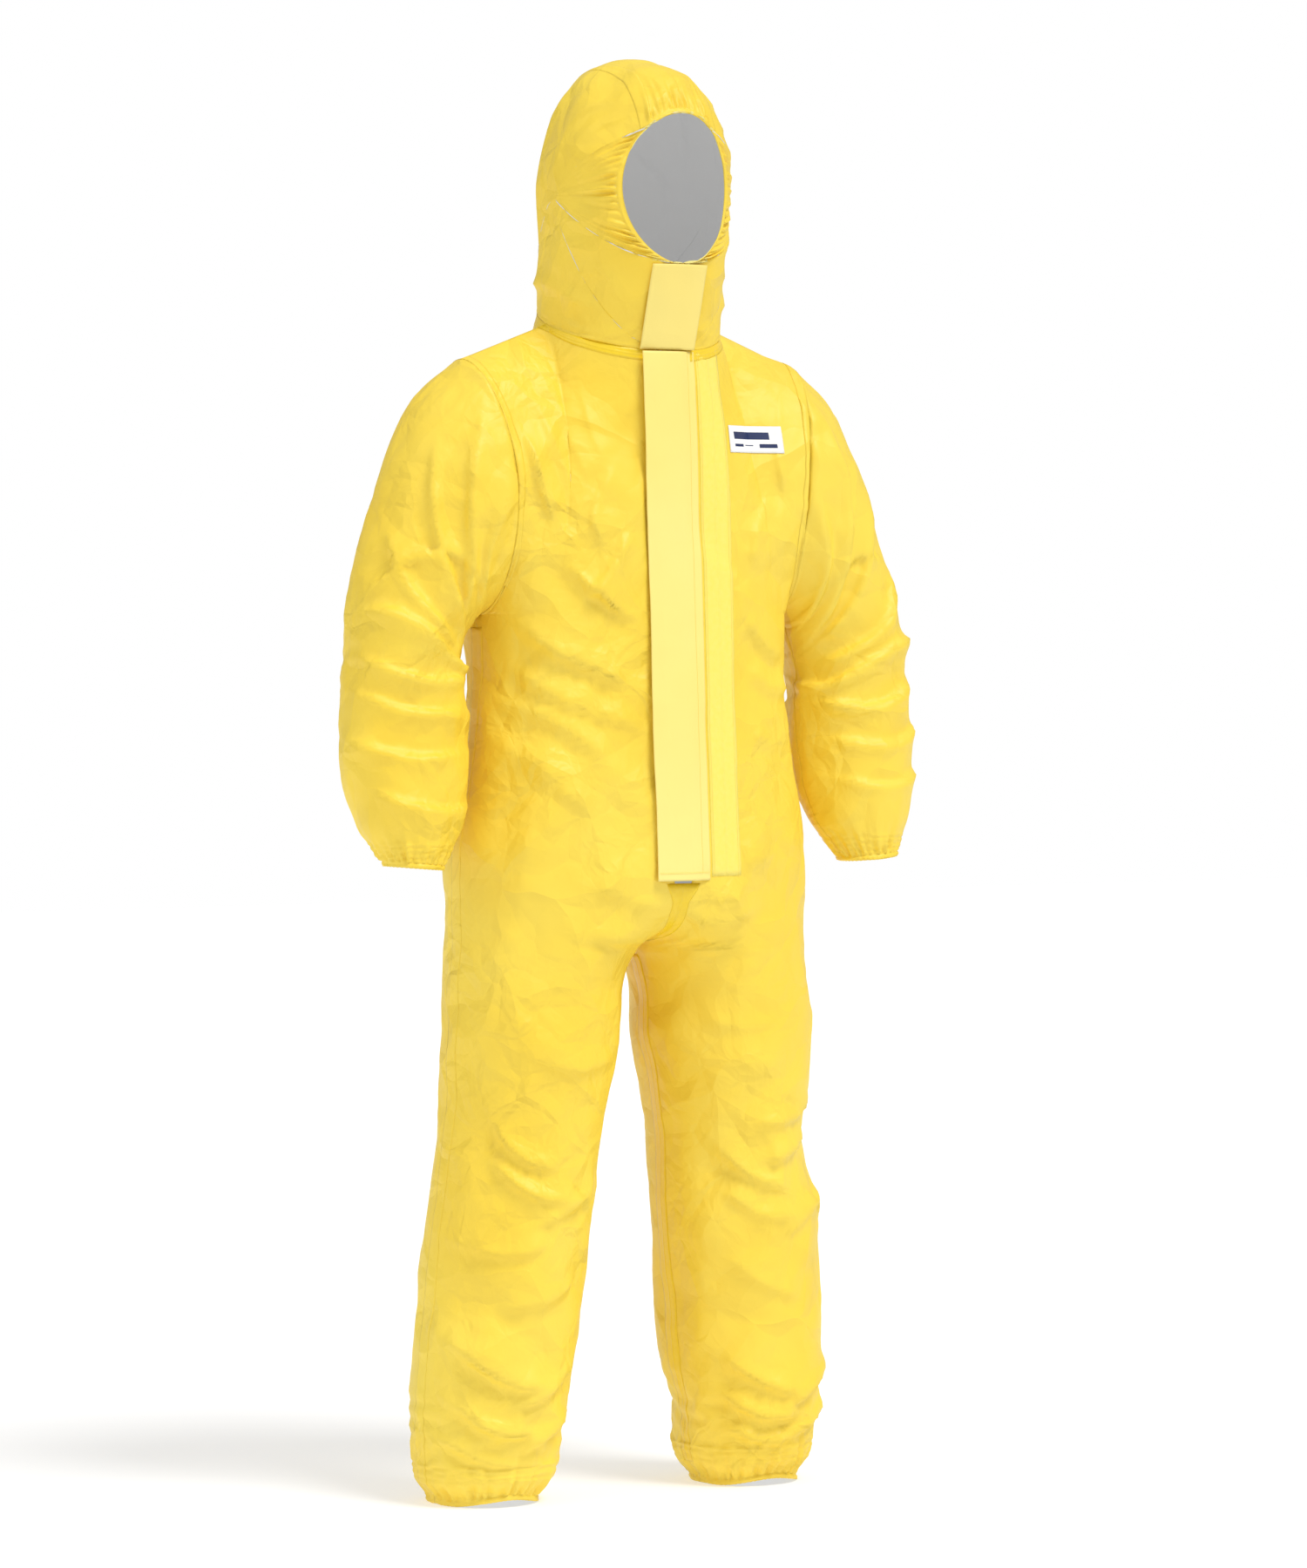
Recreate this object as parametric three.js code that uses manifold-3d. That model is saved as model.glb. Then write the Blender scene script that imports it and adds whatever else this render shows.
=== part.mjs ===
// Chemical protective suit: a hooded one-piece coverall of film-laminated nonwoven.
// Millimetres, +Z up, front of the suit towards -Y, the wearer's left towards +X.
// The origin is on the floor, under the middle of the suit.
//
// Every fabric piece is a thin shell. The trunk and legs come from one family of
// sections, so the panels, the seam tapes over them and the elastics under them share
// the same rows and columns and lie parallel.
import * as THREE from 'three';
import Module from 'manifold-3d';
import { mergeVertices } from 'three/addons/utils/BufferGeometryUtils.js';

// ---------------------------------------------------------------- driving dimensions
const INSEAM = 688;             // floor to crotch
const TRUNK = 743;              // crotch to the front of the neck seam
const HOOD_HEIGHT = 369;        // front of the neck seam to the crown

const HIP_HALF_WIDTH = 242;
const WAIST_HALF_WIDTH = 209;
const CHEST_HALF_WIDTH = 213;
const THIGH_HALF_WIDTH = 110;
const KNEE_HALF_WIDTH = 101;
const CALF_HALF_WIDTH = 104;
const ANKLE_HALF_WIDTH = 91;    // where the leg blouses over the elastic
const HEM_HALF_WIDTH = 66;
const HEM_HALF_DEPTH = 72;
const ANKLE_SPREAD = 189;       // centre line of the suit to the middle of an ankle

const FRONT_AT_HIP = -146;      // the front is one straight line up the zip
const FRONT_AT_NECK = -110;
const BACK_AT_HIP = 152.6;
const BACK_AT_WAIST = 118;
const BACK_AT_CHEST = 132;
const ANKLE_SETBACK = 26;       // the ankles stand behind the middle of the trunk

const NECK_HALF_WIDTH = 116;
const NECK_HALF_DEPTH = 105;
const NECK_CENTRE_Y = -5;
const NECK_RISE = 35;           // the neck seam climbs by twice this from front to back

const SHOULDER_TIP_X = 235;
const SHOULDER_DROP = 11;       // shoulder tip below the front of the neck seam
const ARMHOLE_HALF_DEPTH = 100;
const ARMHOLE_CUT_IN = 16;      // the armhole bows towards the chest
const SLEEVE_TUCK = 8;          // seam allowance of the sleeve inside the trunk

const HOOD_HALF_WIDTH = 117;
const HOOD_FRONT_Y = -147;
const HOOD_BACK_Y = 108;
const HOOD_PANEL_HALF = 45;     // half the width of the centre panel over the crown
const FACE_HALF_WIDTH = 73;
const CHIN_ABOVE_NECK = 106;
const FACE_HEIGHT = 186;

const FABRIC = 2;               // thickness of a fabric shell
const SEAM_GAP = 0.6;           // between two panels that meet edge to edge
const TAPE_GAP = 0.5;           // between a panel and a tape or elastic on it
const WIDE_TAPE_GAP = 1;        // the same for a tape that crosses the panel's facets
const TAPE_THICKNESS = 0.9;
const TAPE_HALF_WIDTH = 12;
const ELASTIC_THICKNESS = 1.2;
const RUNNING_GAP = 3;          // between a turning shell and the shell around it
const SEATED_GAP = 0.4;         // the same where the two stay together

const ZIP_FLOOR = 102;          // crotch to the lower end of the zip
const ZIP_OPENING = 14;         // centre line to the edge of a front panel
const FLAP_HINGE_X = 37;
const FLAP_FREE_X = -41;
const FLAP_STANDOFF = 6;        // room for the slider under the flap
const FLAP_BAND_WIDTH = 44;     // wide tape beside the sewn edge of the flap

// ---------------------------------------------------------------- levels, worked out
const CROTCH = INSEAM;
const ZIP_BOTTOM = CROTCH + ZIP_FLOOR;
const HIP = CROTCH + 0.187 * TRUNK;
const WAIST = CROTCH + 0.44 * TRUNK;
const UNDERARM = CROTCH + 0.561 * TRUNK;
const NECK_FRONT = CROTCH + TRUNK;
const NECK_MIDDLE = NECK_FRONT + NECK_RISE;
const SHOULDER_TIP_Z = NECK_FRONT - SHOULDER_DROP;
const CROWN = NECK_FRONT + HOOD_HEIGHT;
const CHIN = NECK_FRONT + CHIN_ABOVE_NECK;
const FACE_TOP = CHIN + FACE_HEIGHT;

// The zip and the flap lie along one straight line, leaning back towards the neck.
const FRONT_LEAN = (FRONT_AT_NECK - FRONT_AT_HIP) / (NECK_FRONT - ZIP_BOTTOM);
const frontLine = (z) => FRONT_AT_HIP + FRONT_LEAN * (z - ZIP_BOTTOM);

const vec = (x, y, z) => new THREE.Vector3(x, y, z);
const mix = THREE.MathUtils.lerp;
const ease = (t) => THREE.MathUtils.smoothstep(t, 0, 1);

// ---------------------------------------------------------------- shells from grids
// Joins a stack of rows of points into triangles, each four-sided cell across its
// shorter diagonal. A closed grid joins its last column to its first.
function gridTriangles(points, columns, closed = false) {
  const rows = points.length / columns;
  const triangles = [];
  const spans = closed ? columns : columns - 1;
  for (let r = 0; r < rows - 1; r += 1) {
    for (let c = 0; c < spans; c += 1) {
      const next = (c + 1) % columns;
      const a = r * columns + c;
      const b = r * columns + next;
      const d = (r + 1) * columns + c;
      const e = (r + 1) * columns + next;
      const shorter = points[a].distanceTo(points[e]) < points[b].distanceTo(points[d]);
      const cell = shorter ? [[a, b, e], [a, e, d]] : [[a, b, d], [b, e, d]];
      triangles.push(...cell);
    }
  }
  return triangles;
}

function vertexNormals(points, triangles) {
  const normals = points.map(() => vec(0, 0, 0));
  for (const [a, b, c] of triangles) {
    const side = points[b].clone().sub(points[a]);
    const facet = side.cross(points[c].clone().sub(points[a]));
    [a, b, c].forEach((i) => normals[i].add(facet));
  }
  return normals.map((n) => n.normalize());
}

// A closed shell around an open surface. Its outer face is `outer` above the surface
// and its inner face `inner` above it, both along the vertex normals. square(i, normal)
// may turn a normal first, where the edge of the wall has to lie in a plane.
function shell(points, triangles, outer, inner, square = () => {}) {
  const normals = vertexNormals(points, triangles);
  normals.forEach((normal, i) => square(i, normal));
  const lift = (by) => points.map((p, i) => p.clone().addScaledVector(normals[i], by));
  const all = [...lift(outer), ...lift(inner)];
  const count = points.length;
  const faces = triangles.map((t) => [...t]);
  const edges = new Set();
  for (const [a, b, c] of triangles) {
    faces.push([a + count, c + count, b + count]);
    [[a, b], [b, c], [c, a]].forEach(([p, q]) => edges.add(`${p},${q}`));
  }
  for (const edge of edges) {
    const [p, q] = edge.split(',').map(Number);
    if (!edges.has(`${q},${p}`)) {
      faces.push([q, p, p + count], [q, p + count, q + count]);
    }
  }
  const geometry = new THREE.BufferGeometry();
  const xyz = new Float32Array(all.flatMap((p) => [p.x, p.y, p.z]));
  geometry.setAttribute('position', new THREE.BufferAttribute(xyz, 3));
  geometry.setIndex(faces.flat());
  geometry.computeVertexNormals();
  return geometry;
}

// A grid whose rows run along +columns; `flip` turns its outside round.
function gridShell(grid, outer, inner, { closed = false, flip = false, square } = {}) {
  const points = grid.flat();
  const triangles = gridTriangles(points, grid[0].length, closed);
  const faces = flip ? triangles.map(([a, b, c]) => [a, c, b]) : triangles;
  return shell(points, faces, outer, inner, square);
}

const mirrored = (grid) => grid.map((row) => row.map((p) => vec(-p.x, p.y, p.z)));

// ---------------------------------------------------------------- interpolation
// Smooth values between stations [level, value, value, ...], level ascending.
function between(stations, level) {
  const last = stations.length - 1;
  const found = stations.findIndex((s) => s[0] > level);
  const i = found < 0 ? last - 1 : Math.max(found - 1, 0);
  const [p, q] = [stations[i], stations[i + 1]];
  const span = q[0] - p[0];
  const t = THREE.MathUtils.clamp((level - p[0]) / span, 0, 1);
  const slope = (k, column) => {
    const [before, after] = [stations[Math.max(k - 1, 0)], stations[Math.min(k + 1, last)]];
    return (after[column] - before[column]) / (after[0] - before[0]);
  };
  return p.slice(1).map((value, index) => {
    const column = index + 1;
    const [m0, m1] = [slope(i, column) * span, slope(i + 1, column) * span];
    const bend = t * t * t - 2 * t * t + t;
    const settle = t * t * t - t * t;
    return mix(value, q[column], ease(t)) + bend * m0 + settle * m1;
  });
}

// Points of a polyline at given distances along it.
function pointsAt(line, distances) {
  const lengths = [0];
  for (let i = 1; i < line.length; i += 1) {
    lengths.push(lengths[i - 1] + line[i].distanceTo(line[i - 1]));
  }
  return distances.map((d) => {
    const found = lengths.findIndex((length) => length >= d - 1e-6);
    const i = Math.max(found < 0 ? line.length - 1 : found, 1);
    const t = (d - lengths[i - 1]) / (lengths[i] - lengths[i - 1]);
    return line[i - 1].clone().lerp(line[i], t);
  });
}

const lengthOf = (line) => line.slice(1).reduce((sum, p, i) => sum + p.distanceTo(line[i]), 0);

// ---------------------------------------------------------------- trunk and leg panels
// [height, centre x, half width, front y, side y, back y, squareness]
const CROTCH_HALF = HIP_HALF_WIDTH / 2;
const INNER_EDGE = SEAM_GAP / 2;
const legCentre = (share) => mix(ANKLE_SPREAD, CROTCH_HALF + INNER_EDGE, share);
const sideOf = (share) => mix(ANKLE_SETBACK, 0, ease(share));
const legStation = (share, centre, half, depth) => {
  const middle = sideOf(share * 1.15);
  return [share * INSEAM, centre, half, middle - depth, middle, middle + depth, 1];
};
const LEG = [
  legStation(0, ANKLE_SPREAD, HEM_HALF_WIDTH, HEM_HALF_DEPTH),
  legStation(0.018, ANKLE_SPREAD, HEM_HALF_WIDTH + 2, HEM_HALF_DEPTH + 2),
  legStation(0.045, ANKLE_SPREAD, ANKLE_HALF_WIDTH - 7, ANKLE_HALF_WIDTH - 4),
  legStation(0.09, ANKLE_SPREAD - 1, ANKLE_HALF_WIDTH, ANKLE_HALF_WIDTH + 2),
  legStation(0.22, ANKLE_SPREAD - 7, CALF_HALF_WIDTH - 5, CALF_HALF_WIDTH),
  legStation(0.5, legCentre(0.42), CALF_HALF_WIDTH, CALF_HALF_WIDTH + 1),
  legStation(0.66, legCentre(0.56), KNEE_HALF_WIDTH, KNEE_HALF_WIDTH + 4),
  legStation(0.82, legCentre(0.74), THIGH_HALF_WIDTH, THIGH_HALF_WIDTH + 3),
  legStation(1, CROTCH_HALF + INNER_EDGE, CROTCH_HALF, CROTCH_HALF + 6),
];
const TRUNK_STATIONS = [
  [CROTCH + 52, 60, HIP_HALF_WIDTH - 60, FRONT_AT_HIP + 10, 0, BACK_AT_HIP - 14, 0.97],
  [ZIP_BOTTOM, 22, HIP_HALF_WIDTH - 22, FRONT_AT_HIP, 0, BACK_AT_HIP - 2, 0.94],
  [HIP, 6, HIP_HALF_WIDTH - 8, frontLine(HIP), 0, BACK_AT_HIP, 0.9],
  [WAIST, 0, WAIST_HALF_WIDTH, frontLine(WAIST), 0, BACK_AT_WAIST, 0.86],
  [UNDERARM, 0, CHEST_HALF_WIDTH, frontLine(UNDERARM), 0, BACK_AT_CHEST, 0.82],
];
const BODY = [...LEG, ...TRUNK_STATIONS];

function bodySection(z) {
  const [centre, half, front, side, back, square] = between(BODY, z);
  const straight = z >= ZIP_BOTTOM ? frontLine(z) : front;
  return { centre, half, front: straight, side, back, square };
}

// Half of one section, from the inner edge round to the side seam. face is -1 for the
// front panel and +1 for the back panel.
function halfSection(z, face, edgeX) {
  const s = bodySection(z);
  const depth = face < 0 ? s.side - s.front : s.back - s.side;
  const reach = THREE.MathUtils.clamp((edgeX - s.centre) / s.half, -1, 1);
  const start = Math.acos(Math.sign(reach) * Math.abs(reach) ** (1 / s.square));
  const steps = 48;
  const line = [];
  for (let i = 0; i <= steps; i += 1) {
    const angle = start * (1 - i / steps);
    const c = Math.cos(angle);
    const across = Math.sign(c) * Math.abs(c) ** s.square;
    const out = Math.max(Math.sin(angle), 0) ** s.square;
    line.push(vec(s.centre + s.half * across, s.side + face * (depth * out + INNER_EDGE), z));
  }
  return line;
}

// Columns: one tape width in from each edge, evenly spaced between.
const INNER_COLUMNS = 6;
const COLUMNS = INNER_COLUMNS + 3;
const LAST = COLUMNS - 1;
const NECK_COLUMNS = 5;         // columns 0 to 5 reach the neck, the rest the shoulder

function columnStations(length) {
  const edge = Math.min(TAPE_HALF_WIDTH, length / 5);
  const inner = length - 2 * edge;
  const middle = Array.from({ length: INNER_COLUMNS + 1 },
    (_, i) => edge + (inner * i) / INNER_COLUMNS);
  return [0, ...middle, length];
}

const LEG_ROWS = [0, 0.018, 0.045, 0.09, 0.16, 0.26, 0.38, 0.5, 0.6, 0.66, 0.72, 0.8, 0.89,
  0.955, 1];
const CROTCH_ROWS = [4, 14, 32, 60, 86];
const ELASTIC_HALF_WIDTH = 12;  // of the elastic across the back of the waist
const TRUNK_ROWS = [ZIP_BOTTOM, HIP, mix(HIP, WAIST, 0.35), mix(HIP, WAIST, 0.7),
  WAIST - ELASTIC_HALF_WIDTH, WAIST + ELASTIC_HALF_WIDTH, mix(WAIST, UNDERARM, 0.55), UNDERARM];
const ROW_HEIGHTS = [...LEG_ROWS.map((share) => share * INSEAM),
  ...CROTCH_ROWS.map((above) => CROTCH + above), ...TRUNK_ROWS];
const CROTCH_ROW = LEG_ROWS.length - 1;
const ZIP_ROW = CROTCH_ROW + CROTCH_ROWS.length + 1;
const WAIST_ROW = ROW_HEIGHTS.indexOf(WAIST - ELASTIC_HALF_WIDTH);
const UNDERARM_ROW = ROW_HEIGHTS.length - 1;

// The front hem arches up over the instep.
const INSTEP_RISE = 9;
const instep = (z, along) => {
  const middle = Math.max(0, 1 - Math.abs(along - 0.5) / 0.2);
  const fade = Math.max(0, 1 - z / (0.06 * INSEAM));
  return INSTEP_RISE * ease(middle) * fade;
};

// ---------------------------------------------------------------- neck and armhole
// The neck seam ring: turn 0 is the front, pi the back.
const neckRing = (turn, shrink = 0, lower = 0) => vec(
  (NECK_HALF_WIDTH - shrink) * Math.sin(turn),
  NECK_CENTRE_Y - (NECK_HALF_DEPTH - shrink) * Math.cos(turn),
  NECK_MIDDLE - NECK_RISE * Math.cos(turn) - lower,
);
const neckTurnAt = (x) => Math.asin(x / NECK_HALF_WIDTH);

// The armhole ring of the left side: turn 0 is the shoulder tip, pi the underarm,
// and face -1 the front.
const ARMHOLE = {
  centre: vec((SHOULDER_TIP_X + CHEST_HALF_WIDTH) / 2, 0, (SHOULDER_TIP_Z + UNDERARM) / 2),
  halfX: (SHOULDER_TIP_X - CHEST_HALF_WIDTH) / 2,
  halfZ: (SHOULDER_TIP_Z - UNDERARM) / 2,
};
const armhole = (turn, face) => vec(
  ARMHOLE.centre.x + ARMHOLE.halfX * Math.cos(turn) - ARMHOLE_CUT_IN * Math.sin(turn) ** 2,
  face * (ARMHOLE_HALF_DEPTH * Math.sin(turn) + INNER_EDGE),
  ARMHOLE.centre.z + ARMHOLE.halfZ * Math.cos(turn),
);

// The top edge of a panel: along the neck seam, then along the shoulder seam.
function topEdge(face, edgeX) {
  const start = face < 0 ? neckTurnAt(edgeX) : Math.PI - neckTurnAt(edgeX);
  const end = Math.PI / 2;
  const neck = Array.from({ length: 25 }, (_, i) => neckRing(mix(start, end, i / 24)));
  neck.forEach((p) => { p.y += face * INNER_EDGE; });
  const neckLength = lengthOf(neck);
  const along = Array.from({ length: NECK_COLUMNS }, (_, i) =>
    mix(TAPE_HALF_WIDTH, neckLength, i / (NECK_COLUMNS - 1)));
  const corner = neck[neck.length - 1];
  const tip = armhole(0, face);
  const shoulder = [corner, tip];
  const edge = lengthOf(shoulder) - TAPE_HALF_WIDTH;
  const middle = pointsAt(shoulder, [edge / 2, edge]);
  return [...pointsAt(neck, [0, ...along]), ...middle, tip];
}

// The part of a panel above the underarm: a patch filled between its four edges.
const BOW_FADE = 1.6;           // how fast the bow of the armhole fades across the panel
const UPPER_SHARES = [0.06, 0.15, 0.25, 0.35, 0.45, 0.55, 0.65, 0.75, 0.85, 0.92];

function upperRows(bottom, face, edgeX) {
  const top = topEdge(face, edgeX);
  const spread = columnStations(lengthOf(bottom)).map((d) => d / lengthOf(bottom));
  const row = (v, turn) => {
    const corner = bottom[LAST].clone().lerp(top[LAST], v);
    const bow = armhole(turn, face).sub(corner);
    return bottom.map((low, c) =>
      low.clone().lerp(top[c], v).addScaledVector(bow, spread[c] ** BOW_FADE));
  };
  const tape = 1 - TAPE_HALF_WIDTH / (NECK_FRONT - UNDERARM);
  return [...UPPER_SHARES, tape, 1].map((v) => row(v, Math.PI * (1 - v)));
}

const OPENING_STARTS = 60;      // above the crotch, where the fronts begin to part
const OPENING_WIDENS = 30;      // height over which they part

function panelGrid(face) {
  const grid = ROW_HEIGHTS.map((z) => {
    const open = face < 0 && z > CROTCH;
    const widening = open ? ease((z - CROTCH - OPENING_STARTS) / OPENING_WIDENS) : 0;
    const edgeX = z > CROTCH ? mix(INNER_EDGE, ZIP_OPENING, widening) : -1e6;
    const line = halfSection(z, face, edgeX);
    const stations = columnStations(lengthOf(line));
    const row = pointsAt(line, stations);
    const total = stations[LAST];
    row.forEach((p, c) => { p.z += face < 0 ? instep(z, stations[c] / total) : 0; });
    return row;
  });
  const bottom = grid[UNDERARM_ROW];
  const edgeX = face < 0 ? ZIP_OPENING : INNER_EDGE;
  return [...grid, ...upperRows(bottom, face, edgeX)];
}

const FRONT = panelGrid(-1);
const BACK = panelGrid(1);
const TOP_ROW = FRONT.length - 1;

// Where the front and back panels meet, at the side seam, the inseam and the shoulder
// seam, the wall's edge is square to Y. Under the hem it is level.
function squarePanel(index, normal) {
  const row = Math.floor(index / COLUMNS);
  const column = index % COLUMNS;
  const side = column === LAST && row <= UNDERARM_ROW;
  const inner = column === 0 && row <= CROTCH_ROW;
  if (side || inner || (row === TOP_ROW && column >= NECK_COLUMNS)) {
    normal.setY(0).normalize();
  }
  if (row === 0) {
    normal.setZ(0).normalize();
  }
}

const panel = (grid, flip) => gridShell(grid, 0, -FABRIC, { flip, square: squarePanel });
const tapeOver = (grid, flip) =>
  gridShell(grid, TAPE_GAP + TAPE_THICKNESS, TAPE_GAP, { flip });
const elasticUnder = (grid, flip) =>
  gridShell(grid, -FABRIC - TAPE_GAP, -FABRIC - TAPE_GAP - ELASTIC_THICKNESS, { flip });

// Picks rows `from` to `to` of a grid and the columns listed.
const strip = (grid, from, to, columns) =>
  grid.slice(from, to + 1).map((row) => columns.map((c) => row[c]));
const joinRows = (...grids) => grids[0].map((_, r) => grids.flatMap((grid) => grid[r]));
// The same rows on the other side of the suit, running back towards the middle.
const reflected = (grid) => mirrored(grid).map((row) => row.reverse());

const sideSeam = joinRows(strip(FRONT, 2, UNDERARM_ROW - 1, [LAST - 1, LAST]),
  strip(BACK, 2, UNDERARM_ROW - 1, [LAST, LAST - 1]));
const inseam = joinRows(strip(BACK, 2, CROTCH_ROW - 1, [1, 0]),
  strip(FRONT, 2, CROTCH_ROW - 1, [0, 1]));
const frontRise = strip(FRONT, CROTCH_ROW + 2, ZIP_ROW - 2, [0, 1]);
const frontRiseTape = joinRows(reflected(frontRise), frontRise);
const backRise = strip(BACK, CROTCH_ROW + 2, TOP_ROW - 2, [1, 0]);
const backRiseTape = joinRows(backRise, reflected(backRise));
const ARMHOLE_TAPE_REACH = 0.72; // the tape stops short of the armhole's edge
const underarmPoint = FRONT[UNDERARM_ROW][LAST].clone().setY(0);
const belowUnderarm = underarmPoint.clone().lerp(FRONT[UNDERARM_ROW - 1][LAST].clone().setY(0),
  TAPE_HALF_WIDTH / (FRONT[UNDERARM_ROW][LAST].z - FRONT[UNDERARM_ROW - 1][LAST].z));
const armholeRing = [[belowUnderarm, underarmPoint],
  ...strip(FRONT, UNDERARM_ROW + 1, TOP_ROW, [LAST - 1, LAST]),
  ...strip(BACK, UNDERARM_ROW + 1, TOP_ROW, [LAST - 1, LAST]).reverse()]
  .map(([inner, edge]) => [inner, inner.clone().lerp(edge, ARMHOLE_TAPE_REACH)]);
const armholeStrip = [0, 1].map((c) => armholeRing.map((row) => row[c]));

const neckColumns = Array.from({ length: NECK_COLUMNS - 1 }, (_, i) => i + 2);
const neckCorner = FRONT[TOP_ROW][NECK_COLUMNS].clone().setY(NECK_CENTRE_Y);
const tip = armhole(0, 0);
const shoulderPoint = neckCorner.clone().lerp(tip, TAPE_HALF_WIDTH / neckCorner.distanceTo(tip));
const backColumns = [...[...neckColumns].reverse(), 1, 0];
const neckHalf = [[TOP_ROW - 1, shoulderPoint], [TOP_ROW, neckCorner]].map(([r, middle]) =>
  [...neckColumns.map((c) => FRONT[r][c]), middle, ...backColumns.map((c) => BACK[r][c])]);
const neckStrip = joinRows(neckHalf, reflected(neckHalf));

const waistColumns = Array.from({ length: LAST }, (_, c) => LAST - 1 - c);
const waistHalf = strip(BACK, WAIST_ROW, WAIST_ROW + 1, waistColumns);
const waistStrip = joinRows(waistHalf, reflected(waistHalf));

const HEM_FOLD = 3;             // from the edge of the hem to the ankle elastic
const hemRing = [0, 1].map((r) => {
  const lift = r === 0 ? HEM_FOLD : 0;
  const loop = [...FRONT[r], ...[...BACK[r]].reverse()];
  return loop.map((p) => vec(p.x, p.y, p.z + lift));
});

// ---------------------------------------------------------------- sleeves
// [outer x, outer z, inner x, inner z, half depth, centre y] of each ring, relative to
// the shoulder tip (outer) and the underarm (inner).
const CUFF_DROP = 622;          // shoulder tip to cuff
const SLEEVE = [
  [50, -48, 10, -8, 95, 0],
  [90, -120, 16, -16, 88, 0],
  [123, -206, 21, -31, 81, 0],
  [145, -290, 28, -56, 76, -2],
  [155, -360, 32, -91, 73, -4],
  [161, -414, 31, -132, 73, -7],
  [165, -470, 31, -177, 74, -11],
  [161, -528, 36, -222, 70, -19],
  [153, -570, 45, -256, 62, -29],
  [139, -598, 62, -283, 50, -39],
  [131, -614, 76, -305, 39, -47],
  [129, -CUFF_DROP, 79, -313, 37, -50],
];
const SLEEVE_TURNS = 16;
const sleeveTurn = (c) => (2 * Math.PI * c) / SLEEVE_TURNS;

// Turn 0 faces outwards, a quarter turn the front, half a turn the underarm seam.
function sleeveRing([outX, outZ, inX, inZ, depth, middle]) {
  const outer = vec(SHOULDER_TIP_X + outX, 0, SHOULDER_TIP_Z + outZ);
  const inner = vec(CHEST_HALF_WIDTH + inX, 0, UNDERARM + inZ);
  const centre = outer.clone().add(inner).multiplyScalar(0.5);
  const half = outer.clone().sub(inner).multiplyScalar(0.5);
  return Array.from({ length: SLEEVE_TURNS }, (_, c) => {
    const p = centre.clone().addScaledVector(half, Math.cos(sleeveTurn(c)));
    p.y = middle - depth * Math.sin(sleeveTurn(c));
    return p;
  });
}

const ARMHOLE_CHORD = 1.6;      // the armhole edge's straight facets cut this far inside it

// The sleeve starts inside the armhole, close at the underarm and free at the shoulder.
function tuckedRing(inwards) {
  return Array.from({ length: SLEEVE_TURNS }, (_, c) => {
    const turn = sleeveTurn(c);
    const face = Math.sin(turn) >= 0 ? -1 : 1;
    const edge = armhole(turn <= Math.PI ? turn : 2 * Math.PI - turn, face);
    const away = ease((1 + Math.cos(turn)) / 0.5);
    const shrink = FABRIC + mix(SEATED_GAP, RUNNING_GAP + ARMHOLE_CHORD, away);
    edge.y += -face * shrink * Math.abs(Math.sin(turn));
    edge.z -= shrink * Math.cos(turn);
    edge.x -= inwards;
    return edge;
  });
}

const SLEEVE_GRID = [tuckedRing(SLEEVE_TUCK), tuckedRing(0), ...SLEEVE.map(sleeveRing)];
const CUFF_ROW = SLEEVE_GRID.length - 1;
const SEAM_COLUMN = SLEEVE_TURNS / 2;
const sleeveSeam = SLEEVE_GRID.slice(3, CUFF_ROW - 1).map((row) => {
  const middle = row[SEAM_COLUMN];
  const toward = (c) => {
    const reach = Math.min(1, TAPE_HALF_WIDTH / middle.distanceTo(row[c]));
    return middle.clone().lerp(row[c], reach);
  };
  return [toward(SEAM_COLUMN - 1), middle, toward(SEAM_COLUMN + 1)];
});
const cuffStrip = [SLEEVE_GRID[CUFF_ROW - 1], SLEEVE_GRID[CUFF_ROW]];

// ---------------------------------------------------------------- hood
const POLE_Y = (HOOD_FRONT_Y + HOOD_BACK_Y) / 2;
const POLE_Z = CROWN - 175;     // the side of the head, where the side panels are widest
const faceMiddle = (CHIN + FACE_TOP) / 2 + 2;
const FACE_FRONT_Y = -119;      // the sides of the face opening
const FACE_BULGE = 24;          // its top and bottom stand this far in front of the sides
const faceEdge = (turn) => vec(
  FACE_HALF_WIDTH * Math.sin(turn),
  FACE_FRONT_Y - FACE_BULGE * Math.cos(turn) ** 2,
  faceMiddle + (Math.cos(turn) > 0 ? FACE_TOP - faceMiddle : faceMiddle - CHIN) * Math.cos(turn),
);
const crownTurn = Math.asin(HOOD_PANEL_HALF / FACE_HALF_WIDTH);

// The outline of the hood in the middle, from the face opening to the nape.
const CROWN_LINE = new THREE.CatmullRomCurve3([
  vec(0, FACE_FRONT_Y - FACE_BULGE, FACE_TOP),
  vec(0, POLE_Y - 99, CROWN - 36),
  vec(0, POLE_Y - 55, CROWN - 8),
  vec(0, POLE_Y - 8, CROWN),
  vec(0, POLE_Y + 50, CROWN - 13),
  vec(0, POLE_Y + 97, CROWN - 54),
  vec(0, HOOD_BACK_Y - 3, CROWN - 122),
  vec(0, HOOD_BACK_Y, CROWN - 192),
  vec(0, HOOD_BACK_Y - 5, CROWN - 245),
  vec(0, NECK_CENTRE_Y + NECK_HALF_DEPTH - 6, NECK_MIDDLE + NECK_RISE + 22),
  vec(0, NECK_CENTRE_Y + NECK_HALF_DEPTH, NECK_MIDDLE + NECK_RISE),
]);

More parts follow.
